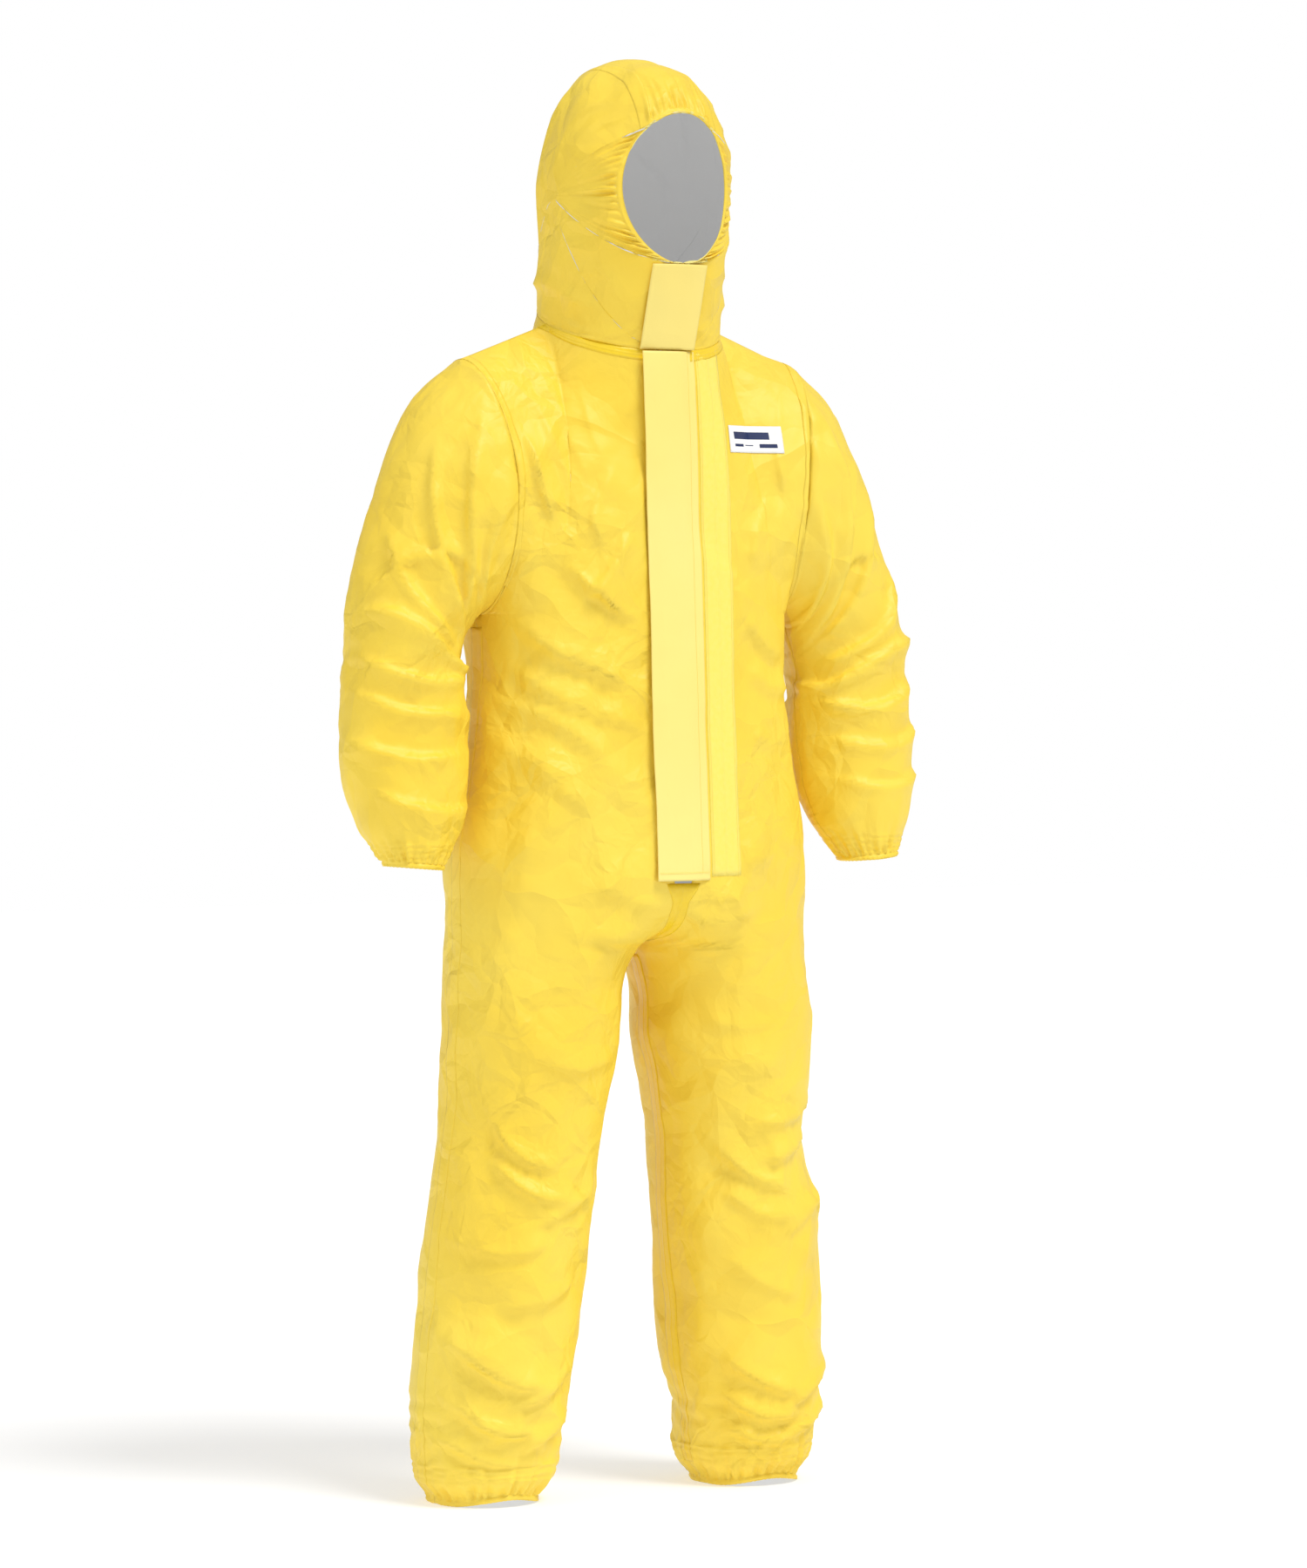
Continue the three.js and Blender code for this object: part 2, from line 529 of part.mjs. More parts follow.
// The hood's lower edge lies inside the neck seam: close at the sides, where it turns.
const HOOD_ALLOWANCE = 8;
const NECK_CHORD = 2;           // the neck edge's straight facets cut this far inside the ring
const HOOD_OVERHANG = Math.max(0, HOOD_HALF_WIDTH - NECK_HALF_WIDTH - 1);
const OVERHANG_SHARE = 0.12;    // the hem draws in by this share of what the hood overhangs
const hoodHem = (turn) => {
  const free = mix(SEATED_GAP, RUNNING_GAP, Math.cos(turn) ** 2);
  const drawn = HOOD_OVERHANG * OVERHANG_SHARE;
  return neckRing(turn, FABRIC + NECK_CHORD + (free + drawn), HOOD_ALLOWANCE);
};

const NAPE_BLEND = 0.28;        // share of the crown line that settles into the nape
const FACE_BLEND = 0.16;        // and into the face opening

function crownPoint(x, t) {
  const middle = CROWN_LINE.getPoint(t);
  const pull = Math.sqrt(1 - (x / HOOD_HALF_WIDTH) ** 2);
  const plain = vec(x, POLE_Y + (middle.y - POLE_Y) * pull, POLE_Z + (middle.z - POLE_Z) * pull);
  const face = faceEdge(Math.asin(x / FACE_HALF_WIDTH));
  const nape = hoodHem(Math.PI - neckTurnAt(x));
  nape.x = x;
  plain.lerp(nape, ease((t - (1 - NAPE_BLEND)) / NAPE_BLEND));
  return plain.lerp(face, 1 - ease(t / FACE_BLEND));
}

const CROWN_ROWS = 15;
const crownShare = (i) => i / (CROWN_ROWS - 1);
const seamX = HOOD_PANEL_HALF - INNER_EDGE;
const crownColumns = [-seamX, -seamX + TAPE_HALF_WIDTH, 0, seamX - TAPE_HALF_WIDTH, seamX];
const crownGrid = Array.from({ length: CROWN_ROWS }, (_, i) =>
  crownColumns.map((x) => crownPoint(x, crownShare(i))));

// The left side panel: its edge runs along the neck, up the crown seam, down the face
// opening and down the front. The surface rises from that edge to the side of the head.
const HOOD_FRONT_X = 3;         // centre line to the front edge of a side panel
const NECK_STEPS = 9;
const FACE_STEPS = 9;
const sideSeamX = HOOD_PANEL_HALF + INNER_EDGE;
const neckPart = Array.from({ length: NECK_STEPS }, (_, i) =>
  hoodHem(mix(neckTurnAt(HOOD_FRONT_X), Math.PI - neckTurnAt(sideSeamX), i / NECK_STEPS)));
const crownPart = Array.from({ length: CROWN_ROWS }, (_, i) =>
  crownPoint(sideSeamX, 1 - crownShare(i)));
const chinTurn = Math.PI - Math.asin(HOOD_FRONT_X / FACE_HALF_WIDTH);
const facePart = Array.from({ length: FACE_STEPS }, (_, i) =>
  faceEdge(mix(crownTurn, chinTurn, (i + 1) / FACE_STEPS)));
const chinPoint = facePart[FACE_STEPS - 1];
const chinPart = [1 / 3, 2 / 3].map((t) => chinPoint.clone().lerp(neckPart[0], t));
const hoodEdge = [...neckPart, ...crownPart, ...facePart, ...chinPart];
const HOOD_RINGS = [1, 0.95, 0.82, 0.64, 0.42, 0.2];

function hoodRing(share) {
  return hoodEdge.map((edge) => {
    const flat = Math.sqrt(1 - Math.min(Math.abs(edge.x) / HOOD_HALF_WIDTH, 0.9) ** 2);
    const arch = HOOD_HALF_WIDTH * Math.sqrt(1 - (share * flat) ** 2);
    const rest = edge.x - HOOD_HALF_WIDTH * Math.sqrt(1 - flat ** 2);
    return vec(arch + rest * share ** 3, mix(POLE_Y, edge.y, share), mix(POLE_Z, edge.z, share));
  });
}
const HOOD_SIDE = HOOD_RINGS.map(hoodRing);

function hoodSideShell(sign) {
  const rings = HOOD_SIDE.map((ring) => ring.map((p) => vec(sign * p.x, p.y, p.z)));
  const count = hoodEdge.length;
  const points = rings.flat();
  const triangles = gridTriangles(points, count, true);
  const pole = points.length;
  const lastRing = pole - count;
  points.push(vec(sign * HOOD_HALF_WIDTH, POLE_Y, POLE_Z));
  for (let i = 0; i < count; i += 1) {
    triangles.push([lastRing + i, lastRing + ((i + 1) % count), pole]);
  }
  const faces = sign > 0 ? triangles : triangles.map(([a, b, c]) => [a, c, b]);
  return shell(points, faces, 0, -FABRIC);
}

// Tape over the seam between the side panel and the centre panel.
const NAPE_ROWS = 2;            // rows at the nape that the tape leaves free to turn
const crownStart = neckPart.length + NAPE_ROWS;
const hoodSeam = Array.from({ length: CROWN_ROWS - NAPE_ROWS - 1 }, (_, i) => {
  const k = crownStart + i;
  const across = crownGrid[CROWN_ROWS - 1 - NAPE_ROWS - i];
  return [HOOD_SIDE[1][k], HOOD_SIDE[0][k], across[4], across[3]];
});

// Elastic inside the edge of the face opening, from chin to chin.
const faceStart = neckPart.length + CROWN_ROWS;
const faceHalf = [0, 1].map((ring) =>
  Array.from({ length: FACE_STEPS }, (_, i) => HOOD_SIDE[ring][faceStart + FACE_STEPS - 1 - i]));
const ELASTIC_REACH = 0.6;      // of the way to the next row of the centre panel
const faceMiddlePart = [crownGrid[0],
  crownGrid[0].map((p, c) => p.clone().lerp(crownGrid[1][c], ELASTIC_REACH))];
const faceStrip = [0, 1].map((ring) => [...faceHalf[ring],
  ...[...faceMiddlePart[ring]].reverse().slice(1, 4),
  ...mirrored([faceHalf[ring]])[0].reverse()]);

// ---------------------------------------------------------------- flaps and closure
// A plate in front of the zip line: offsets are measured forwards from that line.
function closurePlate(columns, from, to, line, thickness) {
  const rows = [from, (from + to) / 2, to];
  const grid = rows.map((z) => columns.map(([x, forwards]) => vec(x, line(z) - forwards, z)));
  return gridShell(grid, 0, -thickness);
}

const FLAP_THICKNESS = 1.5;
const FLAP_BOTTOM = ZIP_BOTTOM - 14;
const FLAP_TOP = NECK_FRONT - 3;
const FLAP_CREST = FLAP_STANDOFF + FLAP_THICKNESS;
const FLAP_EDGE = 4.2;          // how far in front of the line the free edge stands
const FLAP_SEAT = 1.9;          // and the sewn edge
// [x, forwards] of each column, from the free edge to the sewn one.
const flapColumns = [[FLAP_FREE_X, FLAP_EDGE], [-22, FLAP_CREST], [18, FLAP_CREST],
  [FLAP_HINGE_X - 2, FLAP_SEAT]];

// The adhesive strip and its liner lie one behind the other under the free edge.
const STRIP_EDGE_X = FLAP_FREE_X + 3;
const STRIP_INNER_X = -25;
const STRIP_SLOPE = 2.2;        // the strip follows the rise of the flap over it
const STRIP_EDGE = 2.8;
const STRIP_THICKNESS = 0.8;
const LINER_EDGE = 1.6;
const LINER_THICKNESS = 0.6;
const STRIP_BOTTOM = FLAP_BOTTOM + 20;
const STRIP_TOP = FLAP_TOP - 8;
const underFlap = (edge) => [[STRIP_EDGE_X, edge], [STRIP_INNER_X, edge + STRIP_SLOPE]];

const chinLine = (z) => mix(neckPart[0].y, chinPoint.y, (z - NECK_FRONT) / (CHIN - NECK_FRONT));
const CHIN_FLAP_BOTTOM = NECK_FRONT + 13;
const CHIN_FLAP_TOP = CHIN - 4;
const CHIN_FLAP_THICKNESS = 1.2;
const chinColumns = [[FLAP_FREE_X, -2.8], [-20, 2.8], [0, 4.4], [18, 3.2],
  [FLAP_HINGE_X - 1, -1.8]];

const BAND_START = FLAP_HINGE_X + 3;
const bandEdges = [BAND_START, BAND_START + FLAP_BAND_WIDTH];

// Height of the left front panel's surface at a given x on one of its rows.
function frontAt(row, x) {
  const line = FRONT[row];
  const found = line.findIndex((p) => p.x >= x);
  const i = Math.max(found, 1);
  const t = (x - line[i - 1].x) / (line[i].x - line[i - 1].x);
  return line[i - 1].clone().lerp(line[i], t);
}
const bandGrid = Array.from({ length: TOP_ROW - 2 - ZIP_ROW }, (_, i) => {
  const row = ZIP_ROW + i;
  const inside = FRONT[row].filter((p) => p.x > bandEdges[0] + 1 && p.x < bandEdges[1] - 1);
  return [frontAt(row, bandEdges[0]), inside[0], frontAt(row, bandEdges[1])];
});

// The label on the left breast follows the panel under it.
const LABEL_WIDTH = 84;
const LABEL_HEIGHT = 34;
const LABEL_GAP = 5;            // from the wide tape beside the flap to the label
const LABEL_THICKNESS = 0.4;
const LABEL_LEVEL = 0.672;      // share of the way up from the underarm to the neck
const LABEL_X = bandEdges[1] + LABEL_GAP + LABEL_WIDTH / 2;
const LABEL_Z = mix(UNDERARM, NECK_FRONT, LABEL_LEVEL);
function frontHeight(x, z) {
  const points = FRONT.flat();
  for (const [a, b, c] of gridTriangles(points, COLUMNS)) {
    const [p, q, r] = [points[a], points[b], points[c]];
    const area = (q.x - p.x) * (r.z - p.z) - (r.x - p.x) * (q.z - p.z);
    const u = ((x - p.x) * (r.z - p.z) - (r.x - p.x) * (z - p.z)) / area;
    const v = ((q.x - p.x) * (z - p.z) - (x - p.x) * (q.z - p.z)) / area;
    if (p.z > UNDERARM && u >= 0 && v >= 0 && u + v <= 1) {
      return p.y + u * (q.y - p.y) + v * (r.y - p.y);
    }
  }
  throw new Error('the label lies off the front panel');
}
const labelShares = Array.from({ length: 9 }, (_, i) => i / 8 - 0.5);
const labelGrid = [-0.5, -0.25, 0, 0.25, 0.5].map((up) => labelShares.map((across) => {
  const x = LABEL_X + across * LABEL_WIDTH;
  const z = LABEL_Z + up * LABEL_HEIGHT;
  return vec(x, frontHeight(x, z), z);
}));

const TAPE_FRONT = 4;           // zip tape behind the front line
const ZIP_TAPE_OUTER = 20;
const ZIP_TAPE_END = 6;         // beyond each end of the teeth
const CHAIN_INNER = 1.3;
const CHAIN_OUTER = 3.3;
const CHAIN_FRONT = 2;
const CHAIN_DEPTH = 3.6;
const ZIP_TOP = NECK_FRONT - 21;
const STOP_HEIGHT = 3;
const SLIDER = { width: 12, height: 15, plate: 1.8, post: 1.9 };
const SLIDER_BELOW_TOP = 12;
const SLIDER_Z = ZIP_TOP - SLIDER_BELOW_TOP - SLIDER.height / 2;
const STUD_RADIUS = 1.5;
const STUD_HEAD = 2.6;
const STUD_HEAD_HEIGHT = 0.8;
const STUD_FOOT = 0.5;          // sunk into the slider's front plate
const STUD_RISE = 3;            // above the middle of the slider
const PULL_HOLE = 1.9;
const PULL_WIDTH = 7;
const PULL_LENGTH = 32;
const PULL_THICKNESS = 1.2;

// A box along the leaning zip line: x from a to b, y behind the line from front to back.
function zipBar(xFrom, xTo, front, back, zFrom, zTo) {
  const grid = [zFrom, zTo].map((z) => [xFrom, xTo].map((x) => vec(x, frontLine(z) + front, z)));
  return gridShell(grid, 0, front - back);
}

// ---------------------------------------------------------------- booleans
const wasm = await Module();
wasm.setup();

function solid(geometry) {
  const bare = geometry.clone();
  bare.deleteAttribute('normal');
  bare.deleteAttribute('uv');
  const merged = mergeVertices(bare, 1e-4);
  return new wasm.Manifold(new wasm.Mesh({
    numProp: 3,
    vertProperties: new Float32Array(merged.attributes.position.array),
    triVerts: new Uint32Array(merged.index.array),
  }));
}

function toGeometry(manifold) {
  const mesh = manifold.getMesh();
  const geometry = new THREE.BufferGeometry();
  geometry.setAttribute('position', new THREE.BufferAttribute(mesh.vertProperties, 3));
  geometry.setIndex(new THREE.BufferAttribute(mesh.triVerts, 1));
  geometry.computeVertexNormals();
  return geometry;
}

const block = (x, y, z, at) => new THREE.BoxGeometry(x, y, z).translate(at.x, at.y, at.z);

const CHAIN_HALF = CHAIN_DEPTH / 2 + SEAM_GAP / 2 + 0.1; // middle of the chain to a plate
const STUD_Y = -CHAIN_HALF - SLIDER.plate;

// The slider, in its own frame: x across, y backwards, z up, on the middle of the chain.
// Two plates and a post between the teeth, and a headed stud that carries the pull.
function sliderGeometry() {
  const plateY = CHAIN_HALF + SLIDER.plate / 2;
  const plate = (y) => solid(block(SLIDER.width, SLIDER.plate, SLIDER.height, vec(0, y, 0)));
  const postAt = vec(0, 0, SLIDER.height / 5);
  const post = solid(block(SLIDER.post, 2 * plateY, SLIDER.height / 2, postAt));
  const neck = PULL_THICKNESS + 2 * SEAM_GAP;
  const head = neck + STUD_HEAD_HEIGHT;
  const profile = [[0, STUD_FOOT], [STUD_RADIUS, STUD_FOOT], [STUD_RADIUS, -neck],
    [STUD_HEAD, -neck], [STUD_HEAD, -head], [0, -head]]
    .map(([r, y]) => new THREE.Vector2(r, y)).reverse();
  const stud = solid(new THREE.LatheGeometry(profile, 16).translate(0, STUD_Y, STUD_RISE));
  return toGeometry(plate(-plateY).add(plate(plateY)).add(post).add(stud));
}

function pullGeometry() {
  const outline = new THREE.Shape();
  const half = PULL_WIDTH / 2;
  outline.absarc(0, 0, half, 0, Math.PI);
  outline.lineTo(-half, -PULL_LENGTH + half);
  outline.absarc(0, -PULL_LENGTH + half, half, Math.PI, 2 * Math.PI);
  outline.closePath();
  const hole = new THREE.Path();
  hole.absarc(0, 0, PULL_HOLE, 0, 2 * Math.PI, true);
  outline.holes.push(hole);
  const settings = { depth: PULL_THICKNESS, bevelEnabled: false, curveSegments: 8 };
  return new THREE.ExtrudeGeometry(outline, settings).rotateX(Math.PI / 2);
}

// ---------------------------------------------------------------- the assembly
const suit = new THREE.Group();
suit.name = 'chemical_protective_suit';
const finish = (color, roughness = 0.5, metalness = 0) =>
  new THREE.MeshStandardMaterial({ color, roughness, metalness });
const laminate = finish(0xf3d95c, 0.45);
const seamTape = finish(0xf6d83a, 0.35);
const elastic = finish(0xf5ecb4, 0.8);
const white = finish(0xf2f2ee, 0.6);
const zipPlastic = finish(0xe8c832, 0.4);

function addPiece(name, geometry, material, parent = suit) {
  const mesh = new THREE.Mesh(geometry, material);
  mesh.name = name;
  parent.add(mesh);
  return mesh;
}

for (const [side, sign] of [['left', 1], ['right', -1]]) {
  const own = (grid) => (sign > 0 ? grid : mirrored(grid));
  const turned = sign < 0;
  addPiece(`front_panel_${side}`, panel(own(FRONT), turned), laminate);
  addPiece(`back_panel_${side}`, panel(own(BACK), !turned), laminate);
  const sleeve = gridShell(own(SLEEVE_GRID), 0, -FABRIC, { closed: true, flip: turned });
  addPiece(`sleeve_${side}`, sleeve, laminate);
  addPiece(`side_seam_tape_${side}`, tapeOver(own(sideSeam), turned), seamTape);
  addPiece(`inseam_tape_${side}`, tapeOver(own(inseam), turned), seamTape);
  addPiece(`armhole_tape_${side}`, gridShell(own(armholeStrip), WIDE_TAPE_GAP + TAPE_THICKNESS,
    WIDE_TAPE_GAP, { closed: true, flip: !turned }), seamTape);
  addPiece(`sleeve_seam_tape_${side}`, tapeOver(own(sleeveSeam), turned), seamTape);
  addPiece(`wrist_elastic_${side}`, gridShell(own(cuffStrip), -FABRIC - TAPE_GAP,
    -FABRIC - TAPE_GAP - ELASTIC_THICKNESS, { closed: true, flip: turned }), elastic);
  addPiece(`ankle_elastic_${side}`, gridShell(own(hemRing), -FABRIC - TAPE_GAP,
    -FABRIC - TAPE_GAP - ELASTIC_THICKNESS, { closed: true, flip: turned }), elastic);
  addPiece(`hood_side_${side}`, hoodSideShell(sign), laminate);
  addPiece(`hood_seam_tape_${side}`, tapeOver(own(hoodSeam), turned), seamTape);
  const [inner, outer] = [CHAIN_INNER, CHAIN_OUTER].map((x) => sign * x);
  const tapeX = [CHAIN_OUTER + SEAM_GAP / 2, ZIP_TAPE_OUTER].map((x) => sign * x);
  const low = (a, b) => [Math.min(a, b), Math.max(a, b)];
  const chain = [CHAIN_FRONT, CHAIN_FRONT + CHAIN_DEPTH];
  addPiece(`zip_teeth_${side}`, zipBar(...low(inner, outer), ...chain, ZIP_BOTTOM, ZIP_TOP),
    zipPlastic);
  addPiece(`zip_tape_${side}`, zipBar(...low(...tapeX), TAPE_FRONT, TAPE_FRONT + TAPE_THICKNESS,
    ZIP_BOTTOM - ZIP_TAPE_END, ZIP_TOP + ZIP_TAPE_END), zipPlastic);
  addPiece(`zip_top_stop_${side}`, zipBar(...low(inner, outer), ...chain, ZIP_TOP + SEAM_GAP,
    ZIP_TOP + SEAM_GAP + STOP_HEIGHT), zipPlastic);
}

addPiece('zip_bottom_stop', zipBar(-CHAIN_OUTER, CHAIN_OUTER, CHAIN_FRONT,
  CHAIN_FRONT + CHAIN_DEPTH, ZIP_BOTTOM - SEAM_GAP - STOP_HEIGHT, ZIP_BOTTOM - SEAM_GAP),
zipPlastic);

const zipFrame = new THREE.Group();
zipFrame.position.set(0, frontLine(SLIDER_Z) + CHAIN_FRONT + CHAIN_DEPTH / 2, SLIDER_Z);
zipFrame.rotation.x = -Math.atan(FRONT_LEAN);
suit.add(zipFrame);
addPiece('zip_slider', sliderGeometry(), zipPlastic, zipFrame);
const pull = addPiece('zip_pull', pullGeometry(), zipPlastic, zipFrame);
pull.position.set(0, STUD_Y - SEAM_GAP, STUD_RISE);

addPiece('hood_center_panel', gridShell(crownGrid, 0, -FABRIC), laminate);
addPiece('face_elastic', gridShell(faceStrip, -FABRIC - WIDE_TAPE_GAP,
  -FABRIC - WIDE_TAPE_GAP - ELASTIC_THICKNESS), elastic);
const wideTape = (grid) => gridShell(grid, WIDE_TAPE_GAP + TAPE_THICKNESS, WIDE_TAPE_GAP);
addPiece('neck_seam_tape', wideTape(neckStrip), seamTape);
addPiece('crotch_seam_tape', tapeOver(frontRiseTape), seamTape);
addPiece('back_seam_tape', tapeOver(backRiseTape), seamTape);
addPiece('waist_elastic', elasticUnder(waistStrip), elastic);
addPiece('storm_flap', closurePlate(flapColumns, FLAP_BOTTOM, FLAP_TOP, frontLine,
  FLAP_THICKNESS), laminate);
addPiece('adhesive_strip', closurePlate(underFlap(STRIP_EDGE), STRIP_BOTTOM, STRIP_TOP,
  frontLine, STRIP_THICKNESS), white);
addPiece('release_liner', closurePlate(underFlap(LINER_EDGE), STRIP_BOTTOM, STRIP_TOP,
  frontLine, LINER_THICKNESS), white);
addPiece('flap_seam_tape', wideTape(bandGrid), seamTape);
addPiece('chest_label', gridShell(labelGrid, WIDE_TAPE_GAP + LABEL_THICKNESS, WIDE_TAPE_GAP),
  white);
addPiece('chin_flap', closurePlate(chinColumns, CHIN_FLAP_BOTTOM, CHIN_FLAP_TOP, chinLine,
  CHIN_FLAP_THICKNESS), laminate);

export default suit;
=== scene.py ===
import math

import bpy
import numpy as np
from bpy.props import FloatProperty, FloatVectorProperty, IntProperty, PointerProperty
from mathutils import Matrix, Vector


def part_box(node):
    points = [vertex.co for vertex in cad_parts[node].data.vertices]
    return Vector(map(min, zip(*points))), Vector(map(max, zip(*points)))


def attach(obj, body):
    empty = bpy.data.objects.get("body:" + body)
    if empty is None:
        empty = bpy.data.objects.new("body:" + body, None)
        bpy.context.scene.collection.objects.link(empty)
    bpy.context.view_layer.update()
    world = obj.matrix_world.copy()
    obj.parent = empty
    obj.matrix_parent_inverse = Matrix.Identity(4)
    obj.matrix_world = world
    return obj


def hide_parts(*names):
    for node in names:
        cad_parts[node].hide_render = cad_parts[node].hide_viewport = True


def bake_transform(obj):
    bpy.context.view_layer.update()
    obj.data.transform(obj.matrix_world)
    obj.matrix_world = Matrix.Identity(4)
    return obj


bl_info = {
    "name": "Chemical protective suit",
    "version": (1, 0, 0),
    "blender": (4, 5, 0),
    "location": "3D View > Sidebar > Suit",
    "description": "Builds a hooded coverall of film-laminated nonwoven around its frame",
    "category": "Object",
}

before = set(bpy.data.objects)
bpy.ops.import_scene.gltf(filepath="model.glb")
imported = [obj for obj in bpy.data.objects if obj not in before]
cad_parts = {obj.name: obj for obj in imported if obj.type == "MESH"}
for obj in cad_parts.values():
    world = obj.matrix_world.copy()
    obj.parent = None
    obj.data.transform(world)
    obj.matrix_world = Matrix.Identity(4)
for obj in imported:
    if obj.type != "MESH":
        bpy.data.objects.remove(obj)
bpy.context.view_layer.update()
MM = 0.001

# ------------------------------------------------------------------ the pattern, in mm
# The same sizes as the frame's, so that cloth and frame share their seams.
CROTCH = 688.0
NECK_FRONT = 1431.0
TRUNK = 743
ZIP_BOTTOM = CROTCH + 102
HIP = CROTCH + 0.187 * TRUNK
WAIST = CROTCH + 0.44 * TRUNK
UNDERARM = CROTCH + 0.561 * TRUNK
NECK_RISE = 35
NECK_MIDDLE = NECK_FRONT + NECK_RISE
ANKLE_X = 189
THIGH_X = 121.3
INSTEP_RISE = 9
INSTEP_HEIGHT = 41
ARMHOLE_DEPTH = 100
ARMHOLE_CUT = 16
SHOULDER_TIP = (235.0, NECK_FRONT - 11)
CHEST_HALF = 213.0
NECK_HALF = (116.0, 105.0)
NECK_Y = -5.0
CROWN = 1800.0
CHIN = 1537.0
FACE_TOP = 1723.0
FACE_HALF = 73.0
HOOD_HALF = 117.0
POLE = (-19.5, CROWN - 175)
CENTRE_HALF = 45.0
FACE_FRONT = -119
FACE_BULGE = 24
FLAP_X = (-41.0, 37.0)
FLAP_Z = (ZIP_BOTTOM - 14, NECK_FRONT - 0.5)
BAND_X = (40.0, 84.0)
ZIP_OPENING = 14.0
# The label's middle and half sizes, and the half sizes of the calmer cloth round it.
LABEL_AT = (131.0, 1324.0)
LABEL_HALF = (42, 17)
LABEL_QUIET = (46, 20)
FRONT_AT_ZIP = -146
FRONT_LEAN = 36.0 / (NECK_FRONT - ZIP_BOTTOM)


def front_line(z):
    return FRONT_AT_ZIP + FRONT_LEAN * (z - ZIP_BOTTOM)


def ease(t):
    t = np.clip(t, 0, 1)
    return t * t * (3 - 2 * t)


def mix(a, b, t):
    return a + (b - a) * t


def leg_station(share, centre, half, depth):
    middle = mix(26, 0, ease(min(share * 1.15, 1)))
    return [share * CROTCH, centre, half, middle - depth, middle, middle + depth, 1]


# [height, centre x, half width, front y, side y, back y, squareness]
BODY = np.array([
    leg_station(0, ANKLE_X, 66, 72),
    leg_station(0.018, ANKLE_X, 68, 74),
    leg_station(0.045, ANKLE_X, 84, 87),
    leg_station(0.09, 188, 91, 93),
    leg_station(0.22, 182, 99, 104),
    leg_station(0.5, mix(ANKLE_X, THIGH_X, 0.42), 104, 105),
    leg_station(0.66, mix(ANKLE_X, THIGH_X, 0.56), 101, 105),
    leg_station(0.82, mix(ANKLE_X, THIGH_X, 0.74), 110, 113),
    leg_station(1, THIGH_X, 121, 127),
    [CROTCH + 52, 60, 182, -136, 0, 138.6, 0.97],
    [ZIP_BOTTOM, 22, 220, FRONT_AT_ZIP, 0, 150.6, 0.94],
    [HIP, 6, 234, front_line(HIP), 0, 152.6, 0.9],
    [WAIST, 0, 209, front_line(WAIST), 0, 118, 0.86],
    [UNDERARM, 0, CHEST_HALF, front_line(UNDERARM), 0, 132, 0.82],
])


def between(stations, level):
    """Smooth values between stations, level ascending."""
    last = len(stations) - 1
    i = int(np.clip(np.searchsorted(stations[:, 0], level, "right") - 1, 0, last - 1))
    p, q = stations[i], stations[i + 1]
    span = q[0] - p[0]
    t = np.clip((level - p[0]) / span, 0, 1)

    def slope(k):
        before, after = stations[max(k - 1, 0)], stations[min(k + 1, last)]
        return (after[1:] - before[1:]) / (after[0] - before[0]) * span

    bend = t ** 3 - 2 * t ** 2 + t
    settle = t ** 3 - t ** 2
    return mix(p[1:], q[1:], ease(t)) + bend * slope(i) + settle * slope(i + 1)


def half_section(z, face, edge_x, columns):
    """Points from the inner edge round to the side seam, evenly spaced."""
    centre, half, front, side, back, square = between(BODY, z)
    if z >= ZIP_BOTTOM:
        front = front_line(z)
    depth = side - front if face < 0 else back - side
    reach = np.clip((edge_x - centre) / half, -1, 1)
    start = math.acos(np.sign(reach) * abs(reach) ** (1 / square))
    angle = start * (1 - np.linspace(0, 1, 97))
    across = np.sign(np.cos(angle)) * np.abs(np.cos(angle)) ** square
    out = np.clip(np.sin(angle), 0, None) ** square
    line = np.stack([centre + half * across, side + face * depth * out,
                     np.full_like(angle, z)], 1)
    return resample(line, np.linspace(0, 1, columns))


def arc(line):
    steps = np.linalg.norm(np.diff(line, axis=0), axis=1)
    return np.concatenate([[0], np.cumsum(steps)])


def resample(line, shares):
    """Points at given shares of a line's length."""
    length = arc(line)
    at = np.asarray(shares) * length[-1]
    return np.stack([np.interp(at, length, line[:, k]) for k in range(3)], 1)


def neck_ring(turn):
    """Points of the neck seam, turn 0 in front and half a turn at the nape."""
    turn = np.asarray(turn, float)
    return np.stack([NECK_HALF[0] * np.sin(turn), NECK_Y - NECK_HALF[1] * np.cos(turn),
                     NECK_MIDDLE - NECK_RISE * np.cos(turn)], -1)


def armhole(turn, face):
    """Points of an armhole, turn 0 at the shoulder tip and half a turn at the underarm."""
    turn = np.asarray(turn, float)
    middle = ((SHOULDER_TIP[0] + CHEST_HALF) / 2, (SHOULDER_TIP[1] + UNDERARM) / 2)
    half = ((SHOULDER_TIP[0] - CHEST_HALF) / 2, (SHOULDER_TIP[1] - UNDERARM) / 2)
    return np.stack([middle[0] + half[0] * np.cos(turn) - ARMHOLE_CUT * np.sin(turn) ** 2,
                     face * ARMHOLE_DEPTH * np.sin(turn), middle[1] + half[1] * np.cos(turn)], -1)


COLUMNS = 41
HEM_ROWS = 14
HEM_ZONE = 55
LEG_ROWS = 62
CROTCH_ROW = HEM_ROWS + LEG_ROWS
LOWER_ROWS = 104
UPPER_ROWS = 40
# The first row held at the zip, and the first that can lie under the label.
ZIP_ROW = 82
LABEL_ROW = 90
NECK_COLUMNS = 24


def lower_heights():
    """Row heights from the hem to the underarm, closer together at the hem."""
    hem = np.linspace(0, HEM_ZONE, HEM_ROWS, endpoint=False)
    leg = np.linspace(HEM_ZONE, CROTCH, LEG_ROWS, endpoint=False)
    trunk = np.linspace(CROTCH, UNDERARM, LOWER_ROWS - CROTCH_ROW)
    return np.concatenate([hem, leg, trunk])


